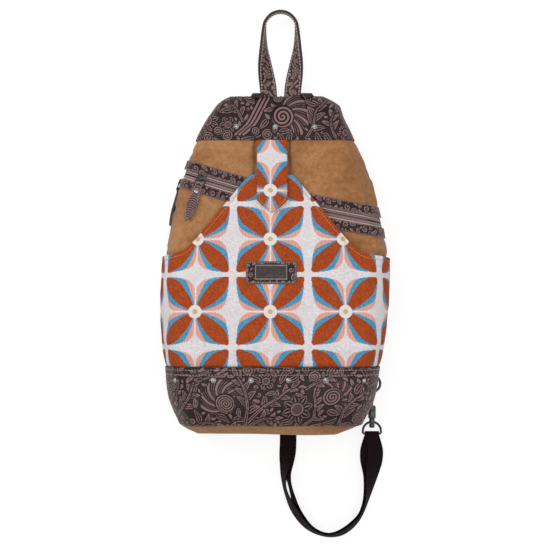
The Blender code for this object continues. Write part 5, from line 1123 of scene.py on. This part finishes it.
def turned_dome(name, node, back, outward, profile, body="bag"):
    """A small lathe-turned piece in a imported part's place: its half section, in mm, spun about the
    line that points outward. Its foot lies back from the part's middle."""
    shape = bmesh.new()
    line = [shape.verts.new((radius / 1000, 0, level / 1000)) for radius, level in profile]
    edges = [shape.edges.new(pair) for pair in zip(line, line[1:])]
    whole_turn = {"cent": (0, 0, 0), "axis": (0, 0, 1), "angle": 2 * math.pi, "steps": 28, "use_merge": True}
    bmesh.ops.spin(shape, geom=line + edges, **whole_turn)
    bmesh.ops.remove_doubles(shape, verts=shape.verts, dist=1e-6)
    bmesh.ops.recalc_face_normals(shape, faces=shape.faces)
    turn = Vector(outward).to_track_quat("Z", "Y").to_matrix().to_4x4()
    turn.translation = Vector(middle_of(node) - back * outward)
    bmesh.ops.transform(shape, matrix=turn, verts=shape.verts)
    piece = piece_of(name, shape)
    piece.data.shade_smooth()
    piece.data.set_sharp_from_angle(angle=math.radians(50))
    dress(piece, pale_plating, "pale_metal", node, body=body)


STUD = [(0.0, 0.0), (2.5, 0.0), (2.75, 0.15), (2.75, 0.4), (2.55, 0.55), (2.3, 0.5),
        (2.2, 0.7), (1.95, 1.15), (1.5, 1.6), (0.95, 1.88), (0.5, 1.98), (0.0, 2.0)]
STUD_BACK = 0.0010
for node in [f"stud_top_{k}" for k in (1, 2, 3)] + [f"stud_bottom_{k}" for k in range(1, 7)]:
    x, height = middle_of(node)[:2] - (0, FOOT)
    outward = off_skin(np.array([x]), np.array([height]), np.array([0.001]), on_front)[0] - on_front(x,
                                                                                                     height)
    turned_dome("dome_" + node, node, STUD_BACK, outward / np.linalg.norm(outward), STUD)


# Zip hardware: two cast sliders, each with a bent wire loop and a folded leather pull riveted below it.
# Edges of the castings are eased, and the leather pull is tooled with cross ridges.
def eased_copy(name, node, ease, body="bag", material=gunmetal, slot="gunmetal", sharp=38):
    """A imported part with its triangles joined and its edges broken, as a casting has them."""
    shape = bmesh.new()
    shape.from_mesh(bpy.data.objects[node].data)
    bmesh.ops.remove_doubles(shape, verts=shape.verts, dist=1e-6)
    bmesh.ops.dissolve_limit(shape, angle_limit=math.radians(2), verts=shape.verts, edges=shape.edges)
    least = math.radians(sharp)
    edges = [edge for edge in shape.edges if edge.is_manifold and abs(edge.calc_face_angle(0)) > least]
    bmesh.ops.bevel(
        shape, geom=edges, offset=ease, segments=2, profile=0.5, affect="EDGES", material=-1,
        clamp_overlap=True,
    )
    bmesh.ops.recalc_face_normals(shape, faces=shape.faces)
    piece = piece_of(name, shape)
    piece.data.shade_smooth()
    piece.data.set_sharp_from_angle(angle=math.radians(42))
    dress(piece, material, slot, node, body=body)
    return piece


def round_wire(name, node, body):
    """A packed loop of wire, made smooth and round, and a touch stouter."""
    piece = eased_copy(name, node, 0.00001, body, sharp=170)
    shape = bmesh.new()
    shape.from_mesh(piece.data)
    for vert in shape.verts:
        vert.co += 0.00028 * vert.normal
    shape.to_mesh(piece.data)
    shape.free()
    piece.data.shade_smooth()
    smooth = piece.modifiers.new("round", "SUBSURF")
    smooth.levels = smooth.render_levels = 2


eased_copy("front_slider_casting", "zip_slider", 0.00030, "front_slider")
eased_copy("side_slider_casting", "side_zip_slider", 0.00030, "side_slider")
round_wire("front_pull_loop", "zip_puller", "front_pull")
round_wire("side_pull_loop", "side_zip_puller", "side_pull")

# Leather pulls: a strip of the hide folded round each wire loop, its two ends riveted together.
# Each is drawn in mm on its slider's own axes: across the zip's run, along it, and out.
FRONT_PULL_X, SIDE_PULL_HEIGHT, SIDE_SINK = -0.079, 0.278, 0.0009
before, front_origin, after = (on_front(x, zip_height(x)) for x in FRONT_PULL_X
                               + np.array([-0.001, 0, 0.001]))
ahead = (after - before) / np.linalg.norm(after - before)
normal = np.array([0, math.sin(SLOPE), math.cos(SLOPE)])
front_hang = np.stack([ahead, np.cross(normal, ahead), np.cross(ahead, np.cross(normal, ahead))])


def side_zip_point(angle, lift):
    """A point of the side zip: along its arc, and out from it."""
    radius = SIDE_RADIUS + (lift - SIDE_SINK) * math.cos(SIDE_LEAN)
    x, y = SIDE_CENTRE[0] - radius * math.cos(angle), SIDE_CENTRE[1] + radius * math.sin(angle)
    return np.array([x, y, SIDE_ZIP_Z - (lift - SIDE_SINK) * math.sin(SIDE_LEAN)])


side_turn = math.asin((SIDE_PULL_HEIGHT + FOOT - SIDE_CENTRE[1]) / SIDE_RADIUS)
side_origin = side_zip_point(side_turn, 0)
travel = np.array([-math.sin(side_turn), -math.cos(side_turn), 0])
out = (side_zip_point(side_turn, 0.001) - side_origin) / 0.001
side_hang = np.stack([np.cross(out, travel), -travel, np.cross(np.cross(out, travel), -travel)])

PULL = [(0.0, 7.6), (0.1, 7.6), (0.62, 12.0), (0.8, 9.6), (0.92, 5.04), (1.0, 0.96)]
PULL_TIP, PULL_FOLD, PULL_LEVEL, FOLD_RADIUS = -50.4, -8.5, 3.8, 1.45
fold = np.linspace(math.pi, 0, 13)
low_run = np.stack([np.linspace(PULL_TIP, -8.6, 60), np.full(60, PULL_LEVEL - FOLD_RADIUS)], -1)
bend = np.stack([PULL_FOLD + FOLD_RADIUS * np.sin(fold), PULL_LEVEL + FOLD_RADIUS * np.cos(fold)], -1)
high_run = np.linspace(-8.7, PULL_TIP, 70)
high_run = np.stack([high_run, 3.46 + 1.79 * np.clip(1 - (PULL_FOLD - high_run) / 4.2, 0, 1) ** 1.5], -1)
route = np.concatenate([low_run, bend, high_run])
RIVET = [(0.0, 0.0), (2.8, 0.0), (2.8, 0.25), (2.6, 0.55), (2.0, 0.85), (1.2, 1.05), (0.0, 1.1)]
RIVET_BACK = 0.00055
for side, node, origin, hang in (("front", "pull_tab", front_origin, front_hang),
                                 ("side", "side_pull_tab", side_origin, side_hang)):
    strip = even_cloth(side + "_pull_strap", 18, len(route) - 1)
    grid = points_of(strip.data)
    step = np.rint(grid[:, 1] * (len(route) - 1)).astype(int)
    v, w = route[step, 0], route[step, 1]
    wide = np.interp((-4.5 - v) / 46.0, *np.array(PULL).T)
    u = (2 * grid[:, 0] - 1) * wide / 2
    rims = np.minimum(wide / 2 - np.abs(u), (v + 50.5) * 0.6)
    ridges = ridge(np.mod(v + 0.45 * np.abs(u), 2.7) - 1.35, 0.85) * (rims > 1.5)
    high = np.clip(np.maximum(ridges, 0.85 * ridge(rims - 0.7, 0.7)), 0, 1)
    high = np.where(rims < 0.1, 0.62, high)
    on_top = step >= len(route) - len(high_run) + 6
    rise = np.where(on_top, 0.22 * (high - 0.6), 0)
    laid = np.stack([u, v, w + rise], -1) / 1000
    lay(strip, 0.00105, origin + laid @ hang, high, offset=0)
    dress(strip, tooled_hide, "leather", node, body=side + "_pull")
turned_dome("front_pull_rivet", "pull_rivet", RIVET_BACK, front_hang[2], RIVET, "front_pull")
turned_dome("side_pull_rivet_cap", "side_pull_rivet", RIVET_BACK, side_hang[2], RIVET, "side_pull")

# Snap hook: a cast body with a spring gate, on a swivel eye for the webbing, and the D-ring it clips to.
# All of it is gunmetal plated. The gate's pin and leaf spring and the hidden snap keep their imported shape.
eased_copy("hook_casting", "hook_body", 0.00035, "hook")
eased_copy("hook_gate_casting", "hook_gate", 0.00025, "gate")
eased_copy("swivel_eye_casting", "swivel_eye", 0.00030)
eased_copy("swivel_pin_head", "swivel_pin", 0.00030, "hook")
round_wire("d_ring_wire", "d_ring", "d_ring")
finish_nodes(gunmetal, "hook_gate_pin", "gate_spring")
finish_nodes(pale_plating, "snap_stud", "snap_socket")

# Handle: two plies of the hide folded into a loop, sewn along both edges with pale thread.
# Its feet lie flat under the top band and it turns on edge at the crown.
def smooth_run(stations, step):
    """A soft curve through stations of any length, sampled about every step."""
    ends = [stations[0], *stations, stations[-1]]
    run = []
    for a, b, c, d in zip(ends, ends[1:], ends[2:], ends[3:]):
        a, b, c, d = (np.asarray(p, float) for p in (a, b, c, d))
        count = max(1, round(np.linalg.norm(c[:3] - b[:3]) / step))
        t = np.arange(count)[:, None] / count
        run.append(0.5 * (2 * b + (c - a) * t + (2 * a - 5 * b + 4 * c - d) * t * t + (3 * b - a - 3 * c + d)
                          * t ** 3))
    return np.concatenate(run + [np.asarray([stations[-1]], float)])


def heading(points):
    """Which way a run of points goes, at each of them."""
    ahead = np.concatenate([points[1:2] - points[0:1], points[2:] - points[:-2], points[-1:] - points[-2:-1]])
    return ahead / np.maximum(np.linalg.norm(ahead, axis=1, keepdims=True), 1e-9)


def lay_ribbon(name, points, across, widths, columns):
    """A flat strap laid along points. Gives the piece, and each point's place across and along it."""
    along = heading(points)
    across = across - along * (along * across).sum(1, keepdims=True)
    across /= np.linalg.norm(across, axis=1, keepdims=True)
    face = np.cross(along, across)
    run = run_along(points)
    piece = even_cloth(name, columns, len(points) - 1)
    grid = points_of(piece.data)
    at = np.rint(grid[:, 1] * (len(points) - 1)).astype(int)
    side = (grid[:, 0] - 0.5) * widths[at]
    move_points(piece.data, points[at] + across[at] * side[:, None])
    return piece, side, run[at], face[at]


def tilted(along, roll):
    """Which way lies across a band that is turned on edge by roll, from lying flat."""
    level = np.stack([-along[:, 1], along[:, 0], np.zeros(len(along))], -1)
    level /= np.linalg.norm(level, axis=1, keepdims=True)
    return level * np.cos(roll)[:, None] + np.array([0, 0, 1]) * np.sin(roll)[:, None]


def at_bag(x, height, z):
    return (x / 1000, height / 1000 + FOOT, z / 1000)


FOOT_LEVEL, RISE, HALF_WIDE, HALF_FOOT, HANDLE_X, HANDLE_WIDE = 374.1, 95.5, 18.6, 13.2, 7.8, 18.4
handle_z = 1000 * float(rim_at(np.array(TALL))) + 1
crown = FOOT_LEVEL + RISE - 1.5 - HALF_WIDE
half = [(-HALF_FOOT, FOOT_LEVEL - 7, 0), (-HALF_FOOT, FOOT_LEVEL, 0), (-HALF_FOOT - 0.8, FOOT_LEVEL + 10, 8)]
half += [(-HALF_WIDE + 1.5, FOOT_LEVEL + 32, 38), (-HALF_WIDE, FOOT_LEVEL + 54, 68),
         (-HALF_WIDE + 0.3, crown, 84)]
half += [(-HALF_WIDE * math.cos(a), crown + HALF_WIDE * math.sin(a), 90) for a in (0.5, 1.05, math.pi / 2)]
loop = half + [(-x, height, roll) for x, height, roll in half[-2::-1]]
stations = [(*at_bag(HANDLE_X + x, height, handle_z), math.radians(roll)) for x, height, roll in loop]
route = smooth_run(stations, 0.0008)
points, along = route[:, :3], heading(route[:, :3])
across = tilted(along, route[:, 3])
handle, side, run, face = lay_ribbon("tooled_handle", points, across,
                                     np.full(len(points), HANDLE_WIDE / 1000), 26)
hide = plain_hide(side * 1000, run * 1000)
for k in range(12):
    at, hand = 6 + 17.5 * k, (-1) ** k
    cut_stem(hide, [(-4.5 * hand, at), (0, at + 6), (3.5 * hand, at + 12), (0, at + 18)], 2.2, 0.8)
    cut_leaf(hide, 0.5 * hand, at + 4, 0.55 if hand > 0 else 2.6, 7.5, 4.2, 0.1)
    cut_leaf(hide, 1.5 * hand, at + 12, 2.5 if hand > 0 else 0.65, 7.5, 4.2, -0.1)
    if k % 3 == 1:
        cut_flower(hide, 0.8 * hand, at + 8, 5.2, 6, 0.3)
fill_with_leaves(hide, 31, (-7.0, 0), (7.0, float(run.max()) * 1000), 900, (5.0, 3.6))
edge = HANDLE_WIDE / 2 - np.abs(side) * 1000
high = tooled_height(hide, edge < 2.6, 0.3, bell(edge - 1.9, 0.4), 0.3)
laid = points_of(handle.data) + face * (0.0003 * (high - 0.6) * (edge > 0.8))[:, None]
lay(handle, 0.0026, laid, high, offset=0)
handle_hide = antiqued_hide("handle_hide", linear(28, 15, 18), linear(60, 41, 43), linear(142, 112, 107))
dress(handle, handle_hide, "handle_leather", "handle_loop")
away = np.cross(along, across)
away /= np.linalg.norm(away, axis=1, keepdims=True)
handle_thread = thread_finish("handle_thread", linear(236, 224, 216))
for face_name, face_side in (("front", 1), ("back", -1)):
    for edge_name, way in (("left", -1), ("right", 1)):
        path = points + across * (way * 0.0073) + away * (face_side * 0.00125)
        row, outward = f"handle_stitch_{edge_name}_{face_name}", away[6:-6] * face_side
        stitch_row(row, path[6:-6], outward, 0.0033, 0.0026, 0.0005, handle_thread, "handle_leather")

# Edge lugs: two short leather loops folded over the top edge beside the handle's feet, where the
# band, its facing and the shell are caught together.
for name, s_at in (("edge_lug_left", -0.37), ("edge_lug_right", 0.60)):
    low = off_skin(np.full(3, s_at), np.array([0.3692, 0.3706, 0.3718]), np.array([0.0028, 0.0036, 0.0044]))
    lip = skin(s_at, TALL)
    over = side_skin(np.full(5, lip[0]), np.full(5, TALL), np.array([0.04, 0.12, 0.22, 0.34, 0.46]))
    over += np.outer([1, 1, 0.9, 0.8, 0.6], (0, 0.0040, 0.0012))
    fine = smooth_run(list(np.concatenate([low, over])), 0.0006)
    across = np.tile([1.0, 0, 0], (len(fine), 1))
    lug, side, *_ = lay_ribbon(name, fine, across, np.full(len(fine), 0.0105), 10)
    lay(lug, 0.0016, carving=np.clip(0.22 + 0.5 * bell(0.0052 - np.abs(side), 0.0005), 0, 1), offset=0)
    dress(lug, tooled_hide, "leather")

# Webbing strap: dark ribbed nylon, one length that runs from the anchor on the back through the
# adjuster, down behind the bag, round the swivel eye, and back beside itself to the adjuster.
WIDE, PLY, PLY_GAP, UNDER, RIB_WIDE = 18.6, 1.3, 0.5, 16.4, 0.0031
CLEAR, SLIDE_HALF, ANCHOR_PLY, EYE_WIRE = 0.3, 0.6, 1.4, 1.35


def strap_station(x, height, roll, gap=0.0, rise=0.0):
    stand = CLEAR + PLY + PLY_GAP / 2 + 0.5 * WIDE * math.sin(math.radians(roll)) + rise
    return (*at_bag(x, height, stand), math.radians(roll), gap / 1000)


ROUTE = [(UNDER, 228, 0), (UNDER, 120, 0), (UNDER, 20, 0), (UNDER, -6, 0), (16.0, -20, 14),
         (14.8, -35, 46, 1.0),
         (13.7, -48, 70, 3.0), (15.3, -61, 80, 4.6), (19.2, -74, 76, 4.0), (24.4, -87, 68, 1.6), (33.0, -100,
                                                                                                  68, 0.4),
         (44.0, -110, 74), (59.8, -115.6, 78), (75.0, -113, 71, 0.2), (88.0, -104, 72, 0.4), (97.5, -92, 79,
                                                                                              0.4),
         (103.0, -77, 76, 0.4), (106.5, -61, 60, 0.6), (108.6, -47, 40, 1.0, 1), (109.4, -33, 18, 1.6, 3),
         (109.8, -18, 4, 2.2, 5.6)]
middle = smooth_run([strap_station(*spot) for spot in ROUTE], 0.007)
points, along = middle[:, :3], heading(middle[:, :3])
across = tilted(along, middle[:, 3])
apart = np.cross(along, across) * ((PLY + PLY_GAP) / 1000 + middle[:, 4])[:, None] / 2
beyond_eye = bell(points[:, 1] - FOOT + 0.024, 0.018) * (points[:, 0] > 0.09)
fan = across * (-0.0040 * beyond_eye)[:, None]
upper, lower = points + apart + fan, points - apart - fan
if upper[0, 2] < lower[0, 2]:
    upper, lower = lower, upper
low_ply, high_ply = CLEAR + PLY / 2, CLEAR + 1.5 * PLY + PLY_GAP
slide_level, slide_at, anchor_at = high_ply + PLY / 2 + CLEAR + SLIDE_HALF, 250, 341
anchor_ply, slot = CLEAR + ANCHOR_PLY + CLEAR + PLY / 2, 12.5 - 2.2 - 0.6
over = slide_level + SLIDE_HALF + CLEAR + 1.5 * PLY + CLEAR
first = [(anchor_at + 10, anchor_ply), (anchor_at - 16, anchor_ply), (slide_at + 26, high_ply),
         (slide_at + 15, high_ply)]
first += [(slide_at + slot, high_ply), (slide_at + slot / 2, over - 0.6), (slide_at + 1.6, over),
          (slide_at - 1.6, over)]
first += [(slide_at - slot / 2, over - 0.6), (slide_at - slot, high_ply), (slide_at - 15, high_ply)]
half_bar, beside = SLIDE_HALF + CLEAR + PLY / 2, 1.1 + 0.6 + PLY / 2
tail = [(slide_at - 15, low_ply), (slide_at - 9.5, low_ply), (slide_at - 4.5, low_ply + 0.6),
        (slide_at - 1.2, slide_level - half_bar)]
tail += [(slide_at + 1.1, slide_level - half_bar), (slide_at + beside, slide_level - 0.4),
         (slide_at + beside, slide_level + 0.4)]
tail += [(slide_at + 1.1, slide_level + half_bar), (slide_at - 1.4, slide_level + half_bar)]
first, tail = (np.array([at_bag(UNDER, h, z) for h, z in spots]) for spots in (first, tail))
eye_bar, wrap = np.array(at_bag(110, 12 - 15.8 + EYE_WIRE, 8.5)), (EYE_WIRE + CLEAR + PLY / 2) / 1000
turn = np.array([eye_bar + (0, wrap * math.cos(a), wrap * math.sin(a)) for a in np.linspace(0.8, -0.8, 8)
                 * math.pi])
rightwards = [np.tile([way, 0, 0], (len(spots), 1)) for way,
              spots in ((1.0, first), (-1.0, turn), (1.0, tail))]
ends = [rightwards[0], across, rightwards[1], across[::-1], rightwards[2]]
points, across = np.concatenate([first, upper, turn, lower[::-1], tail]), np.concatenate(ends)
index, start = np.arange(len(points)), len(first) + len(upper)
beyond = np.maximum(np.maximum(start - index, index - start - len(turn) + 1), 0)
widths = WIDE / 1000 * (0.84 + 0.16 * np.minimum(beyond / 3, 1))
fine = smooth_run(list(np.concatenate([points, across, widths[:, None]], axis=1)), 0.0016)
strap, side, run, face = lay_ribbon("webbing_strap", fine[:, :3], fine[:, 3:6], fine[:, 6], 16)
set_cloth_map(strap.data, side, run)
rib = 0.00012 * np.cos(side * 2 * math.pi / RIB_WIDE) * (np.abs(side) < 0.0088)
lay(strap, 0.0012, points_of(strap.data) + face * rib[:, None], offset=0)
ribbed_webbing, tree, shader = finish_of("ribbed_webbing", 0.8)
shader.inputs["Specular IOR Level"].default_value = 0.12
cloth = knot(tree, "UVMap", uv_map="cloth")
u, v = (knot(tree, "SeparateXYZ", (cloth,), axis) for axis in "XY")
across_rib = reckon(tree, "PINGPONG", u, RIB_WIDE / 2)
slant = reckon(tree, "ADD", v, reckon(tree, "MULTIPLY", across_rib, 0.9))
picks = reckon(tree, "DIVIDE", reckon(tree, "PINGPONG", slant, 0.0007), 0.0007)
cords = reckon(tree, "DIVIDE", across_rib, RIB_WIDE / 2)
woven = blend_of(tree, (picks, 0.5), (cords, 0.3), (grain(tree, 500), 0.3))
colour = ramp(tree, woven, [(0.15, linear(8, 3, 5)), (0.6, linear(25, 12, 16)), (1.0, linear(50, 30, 36))])
colour_and_relief(tree, shader, colour, woven, 0.0005, 0.8)
dress(strap, ribbed_webbing, "webbing", "strap")
eased_copy("adjuster_slide", "strap_slide", 0.00025)

# Leather tabs: the D-ring's tab goes round its bar and into the back seam, and the anchor patch
# under the strap's upper end is sewn to the back.
plain_side = antiqued_hide("plain_hide_side", linear(40, 26, 28), linear(86, 66, 65), linear(128, 104, 98),
                           0.55)
sewn = off_skin(np.array([1.74, 1.69]), np.full(2, 0.0534), np.full(2, 0.0026))
bar, wrap = np.array(at_bag(105.2, 53.4, 8.5)), 0.00225
round_bar = (-2.0, -1.4, -0.8, -0.2, 0.4, 1.0, 1.6, 2.1)
points = [(p[0], bar[1], p[2]) for p in sewn] + [bar + (wrap * math.cos(a), 0,
                                                        wrap * math.sin(a)) for a in round_bar]
fine = smooth_run(points, 0.0005)
across = np.tile([0.0, 1.0, 0.0], (len(fine), 1))
ring_tab, side, *_ = lay_ribbon("ring_tab_leather", fine, across, np.full(len(fine), 0.010), 12)
lay(ring_tab, 0.0011, carving=np.clip(0.5 + 0.4 * bell(0.005 - np.abs(side), 0.0006), 0, 1), offset=0)
dress(ring_tab, plain_side, "leather", "d_ring_tab")
eased_copy("anchor_leather", "strap_anchor", 0.0003, material=plain_side, slot="leather")

# Linings: a plain grey cotton inside front, back and zip pocket, seen only where a zip gapes.
lining_cotton, tree, shader = finish_of("lining_cotton", 0.9, sheen=0.1)
threads = grain(tree, 600)
colour = ramp(tree, threads, [(0.3, linear(118, 112, 104)), (0.7, linear(146, 138, 128))])
colour_and_relief(tree, shader, colour, threads, 0.0003, 0.5)
finish_nodes(lining_cotton, "lining_front", "lining_back", "zip_pocket_bag")
